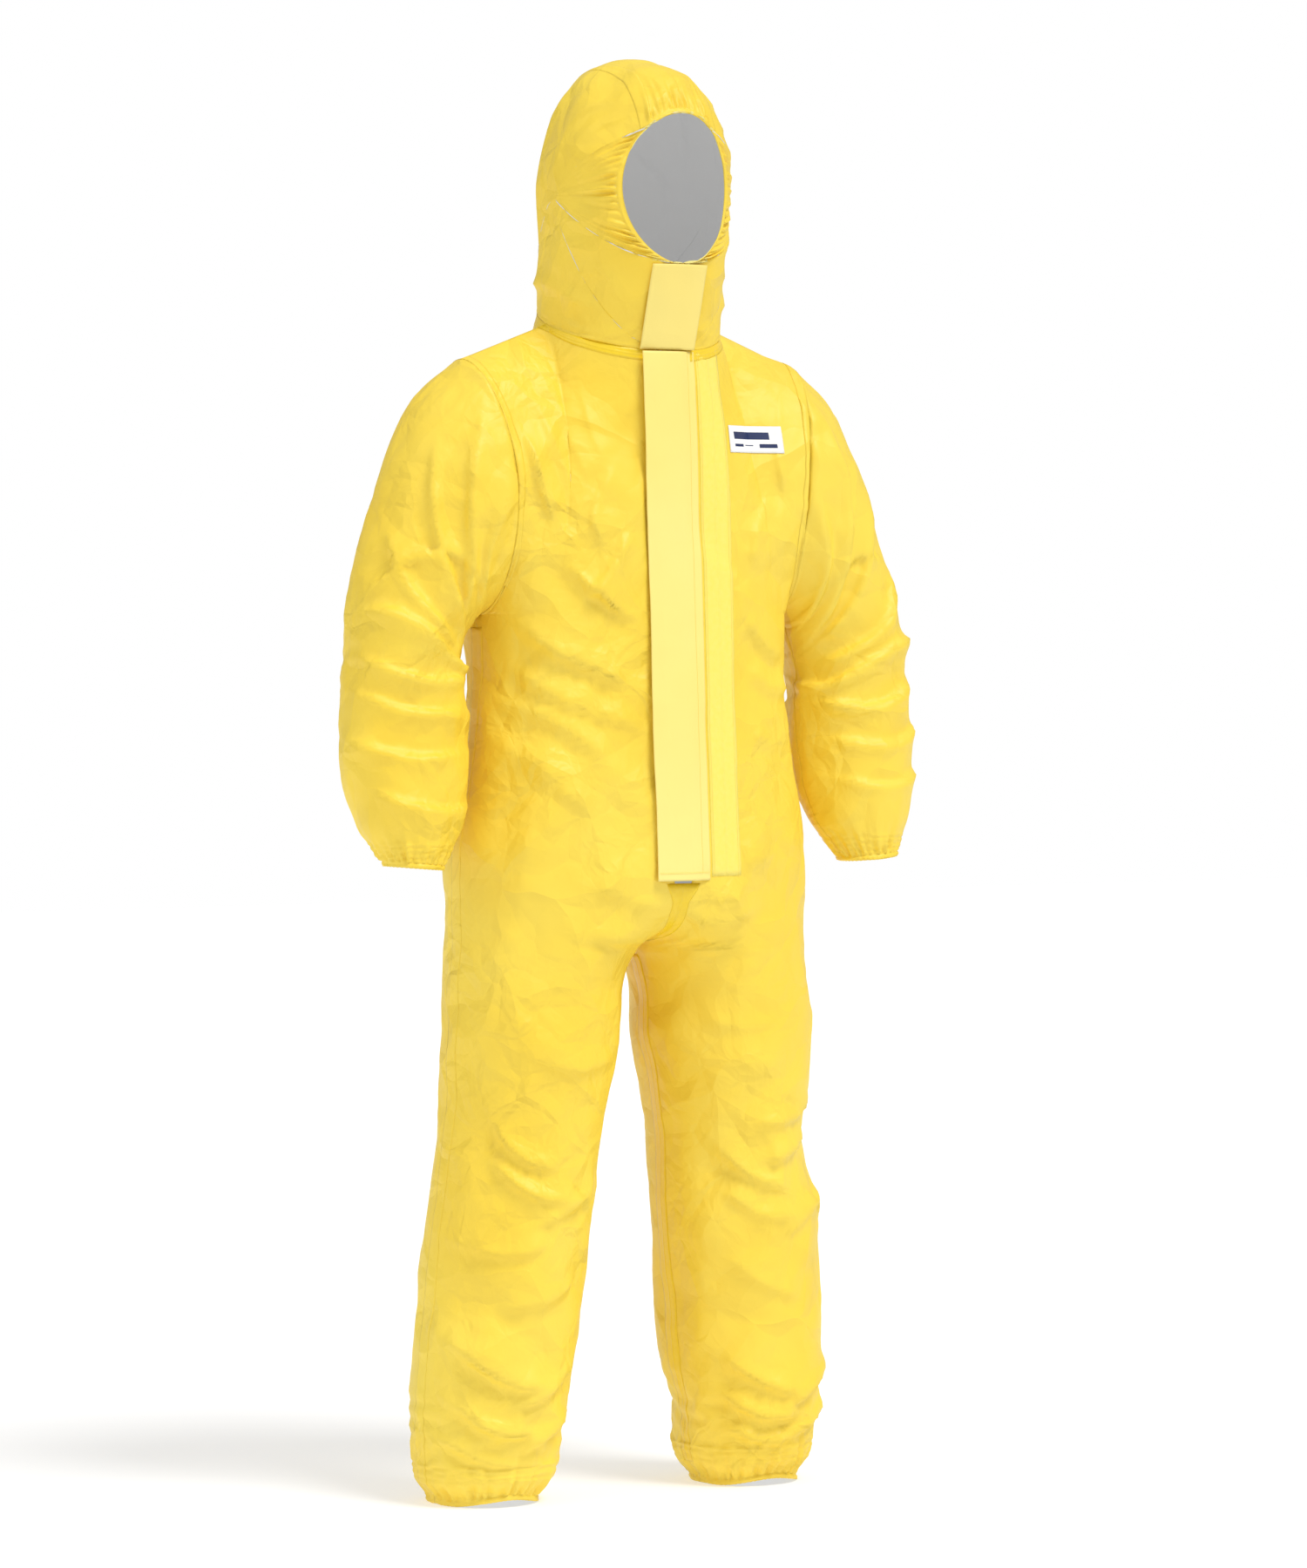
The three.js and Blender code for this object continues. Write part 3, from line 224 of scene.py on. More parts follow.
def panel_grid(face):
    """A left panel from the hem to the shoulder; face is -1 in front and 1 behind."""
    rows = []
    for z in lower_heights():
        if z <= CROTCH + 1e-6:
            edge_x = -1e6
        else:
            wide = ease((z - CROTCH - 60) / 30) if face < 0 else 0
            edge_x = mix(0.0, ZIP_OPENING, wide)
        row = half_section(z, face, edge_x, COLUMNS)
        if abs(z - CROTCH) < 1e-6:
            row[0] = (0, 0, z)
        share = np.linspace(0, 1, COLUMNS)
        if face < 0:
            rise = ease(np.clip(1 - np.abs(share - 0.5) / 0.34, 0, 1))
            row[:, 2] += INSTEP_RISE * rise * max(0, 1 - z / INSTEP_HEIGHT)
        rows.append(row)
    bottom = rows[-1]
    edge_x = ZIP_OPENING if face < 0 else 0.0
    start = math.asin(edge_x / NECK_HALF[0])
    turns = np.linspace(start, math.pi / 2, 40)
    if face > 0:
        turns = math.pi - turns
    neck = neck_ring(turns)
    corner = neck[-1]
    tip = armhole(0.0, face)
    top = np.concatenate([resample(neck, np.linspace(0, 1, NECK_COLUMNS)),
                          resample(np.array([corner, tip]),
                                   np.linspace(0, 1, COLUMNS - NECK_COLUMNS + 1))[1:]])
    share = np.linspace(0, 1, COLUMNS)
    for v in np.linspace(0, 1, UPPER_ROWS + 1)[1:]:
        bow = armhole(math.pi * (1 - v), face) - mix(bottom[-1], top[-1], v)
        rows.append(mix(bottom, top, v) + share[:, None] ** 1.6 * bow)
    return np.array(rows)


# [outer x, outer z, inner x, inner z, half depth, centre y], from the shoulder tip
# and the underarm
SLEEVE = np.array([
    [0, 0, 0, 0, ARMHOLE_DEPTH, 0], [50, -48, 10, -8, 95, 0], [90, -120, 16, -16, 88, 0],
    [123, -206, 21, -31, 81, 0], [145, -290, 28, -56, 76, -2], [155, -360, 32, -91, 73, -4],
    [161, -414, 31, -132, 73, -7], [165, -470, 31, -177, 74, -11],
    [161, -528, 36, -222, 70, -19], [153, -570, 45, -256, 62, -29],
    [139, -598, 62, -283, 50, -39], [131, -614, 76, -305, 39, -47],
    [129, -622, 79, -313, 37, -50],
], float)
SLEEVE_COLUMNS = 64
SLEEVE_ROWS = 68
CUFF_ROWS = 12
CUFF_ZONE = 34


def sleeve_grid():
    """Rows from the armhole to the cuff; column 0 faces outwards, a quarter the front."""
    turn = 2 * math.pi * np.arange(SLEEVE_COLUMNS) / SLEEVE_COLUMNS
    face = np.where(np.sin(turn) >= 0, -1.0, 1.0)
    edge = armhole(np.where(turn <= math.pi, turn, 2 * math.pi - turn), 1.0)
    edge[:, 1] = face * np.abs(edge[:, 1])
    rings = [edge]
    for out_x, out_z, in_x, in_z, depth, middle in SLEEVE[1:]:
        outer = np.array([SHOULDER_TIP[0] + out_x, 0, SHOULDER_TIP[1] + out_z])
        inner = np.array([CHEST_HALF + in_x, 0, UNDERARM + in_z])
        ring = (outer + inner) / 2 + (outer - inner) / 2 * np.cos(turn)[:, None]
        ring[:, 1] = middle - depth * np.sin(turn)
        rings.append(ring)
    rings = np.array(rings)
    length = arc(rings[:, SLEEVE_COLUMNS // 4])
    stations = np.column_stack([length, rings.reshape(len(rings), -1)])
    cuff = length[-1] - CUFF_ZONE
    levels = np.concatenate([np.linspace(0, cuff, SLEEVE_ROWS - CUFF_ROWS, endpoint=False),
                             np.linspace(cuff, length[-1], CUFF_ROWS)])
    return np.array([between(stations, x).reshape(-1, 3) for x in levels])


CROWN_LINE = np.array([
    [-143, FACE_TOP], [POLE[0] - 99, CROWN - 36], [POLE[0] - 55, CROWN - 8],
    [POLE[0] - 8, CROWN], [POLE[0] + 50, CROWN - 13], [POLE[0] + 97, CROWN - 54],
    [105, CROWN - 122], [108, CROWN - 192], [103, CROWN - 245], [94, NECK_MIDDLE + 57],
    [100, NECK_MIDDLE + NECK_RISE],
], float)


def smooth_line(points, count):
    """A smooth curve through the points, evenly spaced."""
    knots = np.concatenate([[0], np.cumsum(np.linalg.norm(np.diff(points, axis=0), axis=1))])
    stations = np.column_stack([knots, points])
    fine = np.array([between(stations, x) for x in np.linspace(0, knots[-1], 400)])
    length = arc(fine)
    at = np.linspace(0, length[-1], count)
    return np.stack([np.interp(at, length, fine[:, k]) for k in range(fine.shape[1])], 1)


def face_edge(turn):
    """Points of the face opening, turn 0 at the top and half a turn at the chin."""
    turn = np.asarray(turn, float)
    middle = (CHIN + FACE_TOP) / 2 + 2
    half = np.where(np.cos(turn) > 0, FACE_TOP - middle, middle - CHIN)
    return np.stack([FACE_HALF * np.sin(turn), FACE_FRONT - FACE_BULGE * np.cos(turn) ** 2,
                     middle + half * np.cos(turn)], -1)


CROWN_ROWS = 62
CROWN_EDGE_ROWS = 16
CROWN_EDGE_SHARE = 0.1


def crown_row(t, x, line):
    """One row across the centre panel, t from the face opening to the nape."""
    middle = np.array([np.interp(t, np.linspace(0, 1, len(line)), line[:, k]) for k in (0, 1)])
    pull = np.sqrt(1 - (x / HOOD_HALF) ** 2)
    plain = np.stack([x, POLE[0] + (middle[0] - POLE[0]) * pull,
                      POLE[1] + (middle[1] - POLE[1]) * pull], 1)
    nape = neck_ring(math.pi - np.arcsin(x / NECK_HALF[0]))
    plain = mix(plain, nape, ease((t - 0.72) / 0.28))
    face = face_edge(np.arcsin(x / FACE_HALF))
    return mix(plain, face, 1 - ease(t / 0.16))


def crown_shares():
    """Where the centre panel's rows lie, closer together at the face opening."""
    near = np.linspace(0, CROWN_EDGE_SHARE, CROWN_EDGE_ROWS, endpoint=False)
    rest = np.linspace(CROWN_EDGE_SHARE, 1, CROWN_ROWS - CROWN_EDGE_ROWS)
    return np.concatenate([near, rest])


def centre_grid():
    line = smooth_line(CROWN_LINE, 200)
    x = np.linspace(-CENTRE_HALF, CENTRE_HALF, 25)
    return np.array([crown_row(t, x, line) for t in crown_shares()])


HOOD_NECK = 27
FACE_STEPS = 58
HOOD_FRONT_STEPS = 13
HOOD_SHARES = [1, 0.985, 0.965, 0.94, 0.91, 0.87, 0.82, 0.76, 0.69, 0.61, 0.52, 0.42,
               0.31, 0.2, 0.1]


def hood_side_grid():
    """Rings round the side of the head; row 0 is the panel's edge."""
    line = smooth_line(CROWN_LINE, 200)
    seam = np.array([CENTRE_HALF])
    nape_turn = math.pi - math.asin(CENTRE_HALF / NECK_HALF[0])
    neck = neck_ring(np.linspace(0, nape_turn, HOOD_NECK))
    crown = np.array([crown_row(t, seam, line)[0] for t in crown_shares()[::-1]])
    face_turn = np.linspace(math.asin(CENTRE_HALF / FACE_HALF), math.pi, FACE_STEPS)
    face = face_edge(face_turn)
    chin = mix(face[-1], neck[0], np.linspace(0, 1, HOOD_FRONT_STEPS)[:, None])
    edge = np.concatenate([neck[:-1], crown[:-1], face[:-1], chin[:-1]])
    edge[:, 0] = np.maximum(edge[:, 0], 0)
    rings = []
    flat = np.sqrt(1 - np.minimum(np.abs(edge[:, 0]) / HOOD_HALF, 0.9) ** 2)
    for share in HOOD_SHARES:
        arch = HOOD_HALF * np.sqrt(1 - (share * flat) ** 2)
        rest = edge[:, 0] - HOOD_HALF * np.sqrt(1 - flat ** 2)
        rings.append(np.stack([arch + rest * share ** 3, mix(POLE[0], edge[:, 1], share),
                               mix(POLE[1], edge[:, 2], share)], 1))
    return np.array(rings)


# ------------------------------------------------------------------ one garment of grids
class Cloth:
    """Grids of points that share the points on their seams."""

    def __init__(self):
        self.points = np.zeros((0, 3))
        self.grids = {}
        self.closed = {}
        self.flip = {}
        self.lookup = {}

    def add(self, name, grid, closed=False, flip=False):
        index = np.zeros(grid.shape[:2], int)
        new = []
        for r in range(grid.shape[0]):
            for c in range(grid.shape[1]):
                key = tuple(np.round(grid[r, c] / 0.05).astype(int))
                if key not in self.lookup:
                    self.lookup[key] = len(self.points) + len(new)
                    new.append(grid[r, c])
                index[r, c] = self.lookup[key]
        self.points = np.concatenate([self.points, np.array(new).reshape(-1, 3)])
        self.grids[name], self.closed[name], self.flip[name] = index, closed, flip

    def normals(self, points=None):
        points = self.points if points is None else points
        out = np.zeros_like(points)
        for name, grid in self.grids.items():
            g = np.column_stack([grid, grid[:, 0]]) if self.closed[name] else grid
            a, b, c, d = g[:-1, :-1], g[:-1, 1:], g[1:, 1:], g[1:, :-1]
            n = np.cross(points[c] - points[a], points[d] - points[b])
            if self.flip[name]:
                n = -n
            for corner in (a, b, c, d):
                np.add.at(out, corner, n)
        return out / np.maximum(np.linalg.norm(out, axis=1, keepdims=True), 1e-12)


def mirrored(grid):
    return grid * np.array([-1, 1, 1])


def sew():
    """The whole garment, every panel meeting its neighbours at their seams."""
    cloth = Cloth()
    front, back, sleeve, hood = (panel_grid(-1), panel_grid(1), sleeve_grid(),
                                 hood_side_grid())
    for side, turn in (("left", lambda g: g), ("right", mirrored)):
        right = side == "right"
        cloth.add(f"front_panel_{side}", turn(front), flip=right)
        cloth.add(f"back_panel_{side}", turn(back), flip=not right)
        cloth.add(f"sleeve_{side}", turn(sleeve), closed=True, flip=right)
        cloth.add(f"hood_side_{side}", turn(hood), closed=True, flip=right)
    cloth.add("hood_center_panel", centre_grid(), flip=False)
    return cloth


# ------------------------------------------------------------------ folds and the drape
class Waves:
    """Smooth noise: a fixed sum of sine waves of about one wavelength."""

    def __init__(self, seed, wavelength, count=18):
        rng = np.random.default_rng(seed)
        way = rng.normal(size=(count, 3))
        way /= np.linalg.norm(way, axis=1, keepdims=True)
        size = rng.uniform(0.7, 1.4, (count, 1)) * 2 * math.pi / wavelength
        self.way = way * size
        self.phase = rng.uniform(0, 2 * math.pi, count)

    def __call__(self, points):
        return np.sin(points @ self.way.T + self.phase).sum(1) / math.sqrt(len(self.phase))


class Facets:
    """Flat facets between straight sharp ridges, as paper takes them: a few triangle
    waves, each coming and going over the cloth."""

    def __init__(self, seed, wavelength, count=5):
        rng = np.random.default_rng(seed)
        way = rng.normal(size=(count, 3)) * (1, 0.7, 1)
        way /= np.linalg.norm(way, axis=1, keepdims=True)
        self.way = way * rng.uniform(0.75, 1.35, (count, 1)) / wavelength
        self.phase = rng.uniform(0, 1, count)
        self.warp = Waves(seed + 101, wavelength * 2.6)
        self.where = [Waves(seed + 201 + i, wavelength * 1.9) for i in range(count)]

    def __call__(self, points):
        total = np.zeros(len(points))
        bend = 0.16 * self.warp(points)
        for way, phase, where in zip(self.way, self.phase, self.where):
            t = (points @ way + phase + bend) % 1.0
            wave = np.where(t < 0.3, t / 0.3, (1 - t) / 0.7) - 0.5
            total += wave * np.clip(where(points) + 0.15, 0, 1.3)
        return total


# Listed folds: [points x, z on the front or back], height, width, one-sidedness.
# A positive height is a ridge. The drop on its lower or right side is the steeper one.
TORSO_FOLDS = [
    ([(-168, 1368), (-150, 1300), (-132, 1240)], 4, 15),
    ([(-136, 1372), (-128, 1322), (-112, 1262)], 3, 15),
    ([(-198, 1330), (-176, 1260), (-160, 1215)], 8, 12),
    ([(-110, 1385), (-104, 1330), (-92, 1290)], 2, 14),
    ([(-80, 1290), (-112, 1230), (-96, 1175)], 6, 16),
    ([(-60, 1215), (-100, 1150), (-128, 1120)], 8, 16),
    ([(-200, 1100), (-140, 1050), (-60, 1010)], 9, 17),
    ([(-206, 1050), (-150, 1000), (-48, 962)], 8, 18),
    ([(-205, 1000), (-150, 965), (-95, 918)], 7, 16),
    ([(-215, 950), (-165, 902), (-120, 852)], 5, 20),
    ([(-45, 1090), (-95, 1120), (-150, 1175)], 6, 16),
    ([(95, 1100), (140, 1060), (185, 1050)], 6, 15),
    ([(95, 1040), (150, 1010), (200, 1015)], 6, 15),
    ([(95, 960), (150, 940), (205, 965)], 5, 16),
    ([(180, 1370), (165, 1310), (168, 1250)], 6, 12),
    ([(150, 1260), (120, 1210), (110, 1160)], 5, 16),
    ([(50, 800), (95, 790), (150, 812)], 5, 14),
    ([(8, 738), (55, 722), (118, 735)], 7, 12),
    ([(6, 712), (48, 694), (105, 690)], 6, 12),
    ([(-10, 715), (-60, 700), (-130, 712)], 5, 13),
    ([(-14, 745), (-70, 752), (-140, 778)], 5, 14),
    ([(20, 770), (60, 748), (90, 752)], 5, 11),
]
LEFT_LEG_FOLDS = [
    ([(60, 600), (110, 588), (165, 600)], 4, 16),
    ([(232, 455), (190, 432), (140, 418)], 9, 15),
    ([(235, 500), (180, 470), (120, 468)], 7, 16),
    ([(84, 440), (130, 400), (190, 378)], 8, 15),
    ([(90, 385), (140, 352), (200, 345)], 6, 14),
    ([(250, 385), (215, 350), (170, 320)], 6, 15),
    ([(100, 300), (150, 262), (215, 240)], 5, 18),
    ([(110, 170), (150, 140), (205, 120)], 8, 13),
    ([(105, 130), (150, 98), (215, 92)], 8, 12),
    ([(275, 165), (235, 130), (190, 105)], 8, 13),
    ([(278, 110), (240, 82), (200, 66)], 7, 11),
    ([(120, 80), (160, 62), (200, 58)], 6, 10),
]
RIGHT_LEG_FOLDS = [
    ([(-70, 560), (-130, 545), (-190, 560)], 4, 18),
    ([(-228, 485), (-200, 440), (-150, 420)], 9, 15),
    ([(-235, 440), (-190, 395), (-130, 380)], 9, 16),
    ([(-92, 420), (-130, 378), (-190, 350)], 7, 15),
    ([(-270, 335), (-215, 318), (-160, 330)], 6, 16),
    ([(-110, 300), (-160, 262), (-230, 250)], 6, 18),
    ([(-270, 210), (-220, 165), (-160, 150)], 9, 15),
    ([(-104, 190), (-150, 150), (-205, 130)], 8, 14),
    ([(-272, 140), (-225, 100), (-170, 96)], 8, 13),
    ([(-110, 120), (-160, 86), (-200, 80)], 7, 12),
    ([(-275, 90), (-235, 62), (-190, 55)], 6, 10),
]
BACK_FOLDS = [
    ([(-150, 1380), (-120, 1300), (-110, 1220)], 6, 16),
    ([(150, 1375), (125, 1300), (118, 1225)], 6, 16),
    ([(-180, 1090), (-90, 1065), (0, 1075)], 7, 15),
    ([(180, 1080), (90, 1052), (10, 1060)], 7, 15),
    ([(-200, 985), (-110, 960), (-20, 968)], 7, 16),
    ([(200, 990), (110, 962), (20, 975)], 6, 16),
    ([(-30, 720), (-90, 740), (-160, 790)], 6, 16),
    ([(30, 722), (90, 745), (160, 788)], 6, 16),
    ([(-90, 450), (-150, 430), (-220, 450)], 8, 15),
    ([(90, 445), (150, 425), (225, 448)], 8, 15),
    ([(-100, 400), (-160, 375), (-225, 390)], 7, 14),
    ([(100, 398), (160, 378), (225, 395)], 7, 14),
    ([(-110, 150), (-170, 118), (-250, 130)], 8, 13),
    ([(110, 150), (170, 120), (250, 132)], 8, 13),
]
# On a sleeve: [share of the length, turn from the outer side in quarters, front first]
RIGHT_SLEEVE_FOLDS = [
    ([(0.02, 0.45), (0.10, 0.75), (0.22, 1.15), (0.34, 1.35)], 11, 0.034),
    ([(0.01, 0.95), (0.10, 1.15), (0.22, 1.5)], 9, 0.030),
    ([(0.14, 0.35), (0.26, 0.8), (0.36, 1.5)], 10, 0.032),
    ([(0.30, 0.2), (0.38, 0.7), (0.42, 1.4)], 9, 0.030),
    ([(0.46, 0.0), (0.43, 0.7), (0.47, 1.4), (0.44, 2.0)], 11, 0.030),
    ([(0.53, 0.2), (0.55, 0.9), (0.50, 1.6)], 10, 0.028),
    ([(0.60, 0.1), (0.63, 0.8), (0.60, 1.5)], 8, 0.028),
    ([(0.70, 0.0), (0.74, 0.8), (0.70, 1.5)], 7, 0.028),
    ([(0.82, 0.3), (0.86, 1.1), (0.83, 1.7)], 7, 0.024),
    ([(0.40, 2.2), (0.46, 2.9), (0.42, 3.6)], 9, 0.030),
    ([(0.56, 2.1), (0.60, 2.9), (0.55, 3.7)], 8, 0.030),
    ([(0.12, 2.3), (0.2, 2.9), (0.3, 3.5)], 8, 0.034),
]
LEFT_SLEEVE_FOLDS = [
    ([(0.02, 0.5), (0.12, 0.85), (0.26, 1.3), (0.36, 1.7)], 11, 0.034),
    ([(0.01, 1.0), (0.12, 1.3), (0.24, 1.7)], 9, 0.030),
    ([(0.20, 0.4), (0.30, 0.95), (0.38, 1.6)], 9, 0.032),
    ([(0.36, 0.3), (0.44, 0.9), (0.46, 1.6)], 10, 0.030),
    ([(0.50, 0.1), (0.49, 0.8), (0.53, 1.5), (0.5, 2.1)], 11, 0.030),
    ([(0.58, 0.3), (0.62, 1.0), (0.57, 1.7)], 9, 0.028),
    ([(0.68, 0.2), (0.72, 0.9), (0.67, 1.6)], 8, 0.028),
    ([(0.78, 0.1), (0.82, 0.9), (0.78, 1.6)], 7, 0.026),
    ([(0.42, 2.3), (0.47, 3.0), (0.43, 3.7)], 9, 0.030),
    ([(0.57, 2.2), (0.61, 3.0), (0.56, 3.8)], 8, 0.030),
    ([(0.13, 2.3), (0.2, 3.0), (0.3, 3.6)], 8, 0.034),
]
# On the side of the hood: y, z.
HOOD_FOLDS = [
    ([(-105, 1742), (-60, 1730), (-30, 1690), (-45, 1640)], 6, 9),
    ([(-108, 1716), (-70, 1695), (-58, 1650)], 5, 8),
    ([(-112, 1690), (-82, 1665), (-74, 1620)], 4, 7),
    ([(-20, 1770), (20, 1720), (30, 1640), (20, 1560)], 7, 12),
    ([(-110, 1575), (-70, 1560), (-20, 1580)], 5, 9),
    ([(-100, 1530), (-60, 1525), (0, 1545)], 6, 10),
    ([(-90, 1480), (-40, 1500), (30, 1530)], 6, 11),
    ([(90, 1700), (60, 1640), (70, 1570)], 5, 12),
    ([(90, 1540), (50, 1520), (0, 1515)], 6, 11),
]


# How far a fold reaches, in its widths: along its long slope, its short drop and the dip
# beyond, and the depth of that dip as a share of the fold's height.
LONG_SLOPE = 2.2
SHORT_DROP = 0.55
DIP = 1.4
DIP_DEPTH = 0.45


def fold_height(at, folds):
    """Height of the listed folds at 2-D points: a long slope up, a short drop."""
    total = np.zeros(len(at))
    for line, height, width in folds:
        line = smooth_path(np.array(line, float))
        best = np.full(len(at), 1e9)
        signed = np.zeros(len(at))
        along = np.zeros(len(at))
        length = np.concatenate([[0], np.cumsum(np.linalg.norm(np.diff(line, axis=0), axis=1))])
        for k in range(len(line) - 1):
            p, q = line[k], line[k + 1]
            d = q - p
            t = np.clip(((at - p) @ d) / (d @ d), 0, 1)
            off = at - (p + t[:, None] * d)
            distance = np.linalg.norm(off, axis=1)
            near = distance < best
            best = np.where(near, distance, best)
            side = np.sign(d[0] * off[:, 1] - d[1] * off[:, 0])
            down = np.sign(-d[0]) if abs(d[0]) > abs(d[1]) else np.sign(d[1])
            signed = np.where(near, side * down * distance, signed)
            along = np.where(near, (length[k] + t * (length[k + 1] - length[k])), along)
        share = along / length[-1]
        ends = 0.15 + 0.85 * (ease(share / 0.25) * ease((1 - share) / 0.25))
        away = np.abs(signed)
        drop = (1 + DIP_DEPTH) * np.exp(-away / (width * SHORT_DROP))
        drop = drop - DIP_DEPTH * np.exp(-away / (width * DIP))
        slope = np.where(signed < 0, np.exp(-away / (width * LONG_SLOPE)), drop)
        tip = np.exp(-np.maximum(0, best - away) / width)
        total += height * slope * ends * np.where(best - away > 1e-6, tip, 1)
    return total


def smooth_path(points, count=14):
    """A smooth curve through evenly timed points."""
    knots = np.linspace(0, 1, len(points))
    stations = np.column_stack([knots, points])
    return np.array([between(stations, x) for x in np.linspace(0, 1, count)])


class Growth:
    """How much longer than its frame the cloth is cut, down (v) and round (u)."""

    @staticmethod
    def bump(x, middle, half):
        return np.exp(-((x - middle) / half) ** 2)

    @classmethod
    def of(cls, name, points, rows, amount):
        z = points[..., 2]
        if name.startswith(("front", "back")):
            down = 0.010 * cls.bump(z, 1010, 60) + 0.003 * cls.bump(z, 425, 55)
            down = down + 0.05 * cls.bump(z, 80, 45) + 0.004 * cls.bump(z, 720, 50)
            across = 0.001 + 0.004 * cls.bump(z, 980, 120) + 0.01 * cls.bump(z, 80, 60)
        elif name.startswith("sleeve"):
            s = rows[:, None] * np.ones(points.shape[:2])
            down = 0.014 * cls.bump(s, 0.48, 0.12) + 0.035 * cls.bump(s, 0.90, 0.08)
            across = 0.002 + 0.01 * cls.bump(s, 0.9, 0.1) + 0.01 * cls.bump(s, 0.08, 0.08)
        else:
            down = np.full(points.shape[:2], 0.002)
            across = np.full(points.shape[:2], 0.002)
        return down * amount, across * amount


def springs(cloth, amount):
    """Batches of pairs that share no point: (a, b, length, stiffness, kind)."""
    points = cloth.points
    batches = []
    for name, grid in cloth.grids.items():
        p = points[grid]
        rows = np.linspace(0, 1, len(grid))
        down, across = Growth.of(name, p, rows, amount)
        closed = cloth.closed[name]

        def add(ra, ca, rb, cb, stiff, kind, mask):
            a, b = grid[ra, ca][mask], grid[rb, cb][mask]
            gd = 0.5 * (down[ra, ca] + down[rb, cb])[mask]
            ga = 0.5 * (across[ra, ca] + across[rb, cb])[mask]
            length = np.linalg.norm(points[a] - points[b], axis=1)
            grow = {"u": ga, "v": gd}.get(kind[0], 0.5 * (gd + ga))
            keep = (a != b) & (length > 0.2)
            batches.append((a[keep], b[keep], (length * (1 + grow))[keep], stiff, kind))

        count_r, count_c = grid.shape
        r, c = np.mgrid[0:count_r, 0:count_c]
        for step, stiff, tag in ((1, 0.95, "u"), (2, 0.045, "ub")):
            limit = count_c if closed else count_c - step
            for parity in (0, 1):
                m = ((c // step) % 2 == parity) & (c < limit)
                add(r, c, r, (c + step) % count_c, stiff, tag, m)
        for step, stiff, tag in ((1, 0.95, "v"), (2, 0.045, "vb")):
            for parity in (0, 1):
                m = ((r // step) % 2 == parity) & (r < count_r - step)
                add(r, c, np.minimum(r + step, count_r - 1), c, stiff, tag, m)
        for turn in (0, 1):
            for parity in (0, 1):
                m = (r % 2 == parity) & (r < count_r - 1)
                if not closed:
                    m &= c < count_c - 1
                ca = (c + turn) % count_c
                cb = (c + 1 - turn) % count_c
                add(r, ca, np.minimum(r + 1, count_r - 1), cb, 0.5, "d", m)
    return batches


def held_points(cloth):
    """1 where the cloth is held to its frame: elastics, seams, zip and flap."""
    held = np.zeros(len(cloth.points))
    for side in ("left", "right"):
        front, back = cloth.grids[f"front_panel_{side}"], cloth.grids[f"back_panel_{side}"]
        sleeve, hood = cloth.grids[f"sleeve_{side}"], cloth.grids[f"hood_side_{side}"]
        for grid in (front, back):
            held[grid[0]] = 1
            held[grid[-1]] = 1
            held[grid[LOWER_ROWS:, -1]] = 1
        held[front[ZIP_ROW:, 0]] = 1
        held[sleeve[0]] = held[sleeve[-1]] = 1
        held[hood[0, :HOOD_NECK]] = 1
        held[hood[0, HOOD_NECK + CROWN_ROWS - 2:]] = 1
    centre = cloth.grids["hood_center_panel"]
    held[centre[0]] = held[centre[-1]] = 1
    return held


def calm_hood(cloth):
    """1 over the suit, falling to 0 at the middle of each side of the hood."""
    calm = np.ones(len(cloth.points))
    for side in ("left", "right"):
        grid = cloth.grids[f"hood_side_{side}"]
        share = np.linspace(0, 1, len(grid))[:, None] * np.ones(grid.shape)
        calm[grid] = 0.25 + 0.75 * ease((0.8 - share) / 0.5)
    return calm


# The share of its speed a point keeps each round, and how far its weight takes it, in mm.
SPEED_KEPT = 0.93
SAG = 0.012
# How far a point may slide along its frame, stand off it and sink under it, in mm, and
# the share of the way back it is pulled each round. Under the flap it stays closer.
SLIDE_CAP = 14
OUT_CAP, OUT_CAP_FLAP = 11.0, 0.8
IN_CAP, IN_CAP_FLAP = 15.0, 3.0
PULL, PULL_FLAP = 0.02, 0.25
# Width and height of the facets that the cloth starts with, in mm.
FACET_SIZE, FACET_HEIGHT = 190, 6.0


def drape(cloth, rounds, amount, seed):
    """Lets the cloth, cut a little too long, buckle over the frame and settle."""
    base = cloth.points.copy()
    normal = cloth.normals(base)
    held = held_points(cloth)
    calm = calm_hood(cloth)
    push = 0.5 * hand_folds(cloth, base) + FACET_HEIGHT * Facets(seed, FACET_SIZE)(base)
    start = base + normal * (calm * push)[:, None] * (1 - held)[:, None]
    cloth.points = start
    batches = springs(cloth, amount)
    free = (1 - held)[:, None]
    x, old = start.copy(), start.copy()
    # The cloth under the flap and the band beside it.
    flapped = (base[:, 1] < -60) & (base[:, 0] > -46) & (base[:, 0] < 90) & (base[:, 2] > 770)
    flapped &= base[:, 2] < 1450
    goal = np.where(flapped, PULL_FLAP, PULL)[:, None]
    out_cap = np.where(flapped, OUT_CAP_FLAP, OUT_CAP)
    in_cap = np.where(flapped, IN_CAP_FLAP, IN_CAP)
    for _ in range(rounds):
        speed = (x - old) * SPEED_KEPT
        old = x.copy()
        x = x + (speed + np.array([0, 0, -SAG])) * free
        for a, b, length, stiff, kind in batches:
            d = x[b] - x[a]
            now = np.sqrt((d * d).sum(1)) + 1e-9
            error = (now - length) / now
            if kind.endswith("b"):
                error = np.minimum(error + 0.03, 0)
            wa, wb = 1 - held[a], 1 - held[b]
            total = wa + wb + 1e-9
            move = d * (error * stiff / total)[:, None]
            x[a] += move * wa[:, None]
            x[b] -= move * wb[:, None]
        x += (start - x) * goal * free
        off = x - base
        height = (off * normal).sum(1)
        flat = off - height[:, None] * normal
        size = np.linalg.norm(flat, axis=1)
        flat *= np.minimum(1, SLIDE_CAP / np.maximum(size, 1e-9))[:, None]
        x = base + flat + np.clip(height, -in_cap, out_cap)[:, None] * normal
    cloth.points = x
    return base, normal


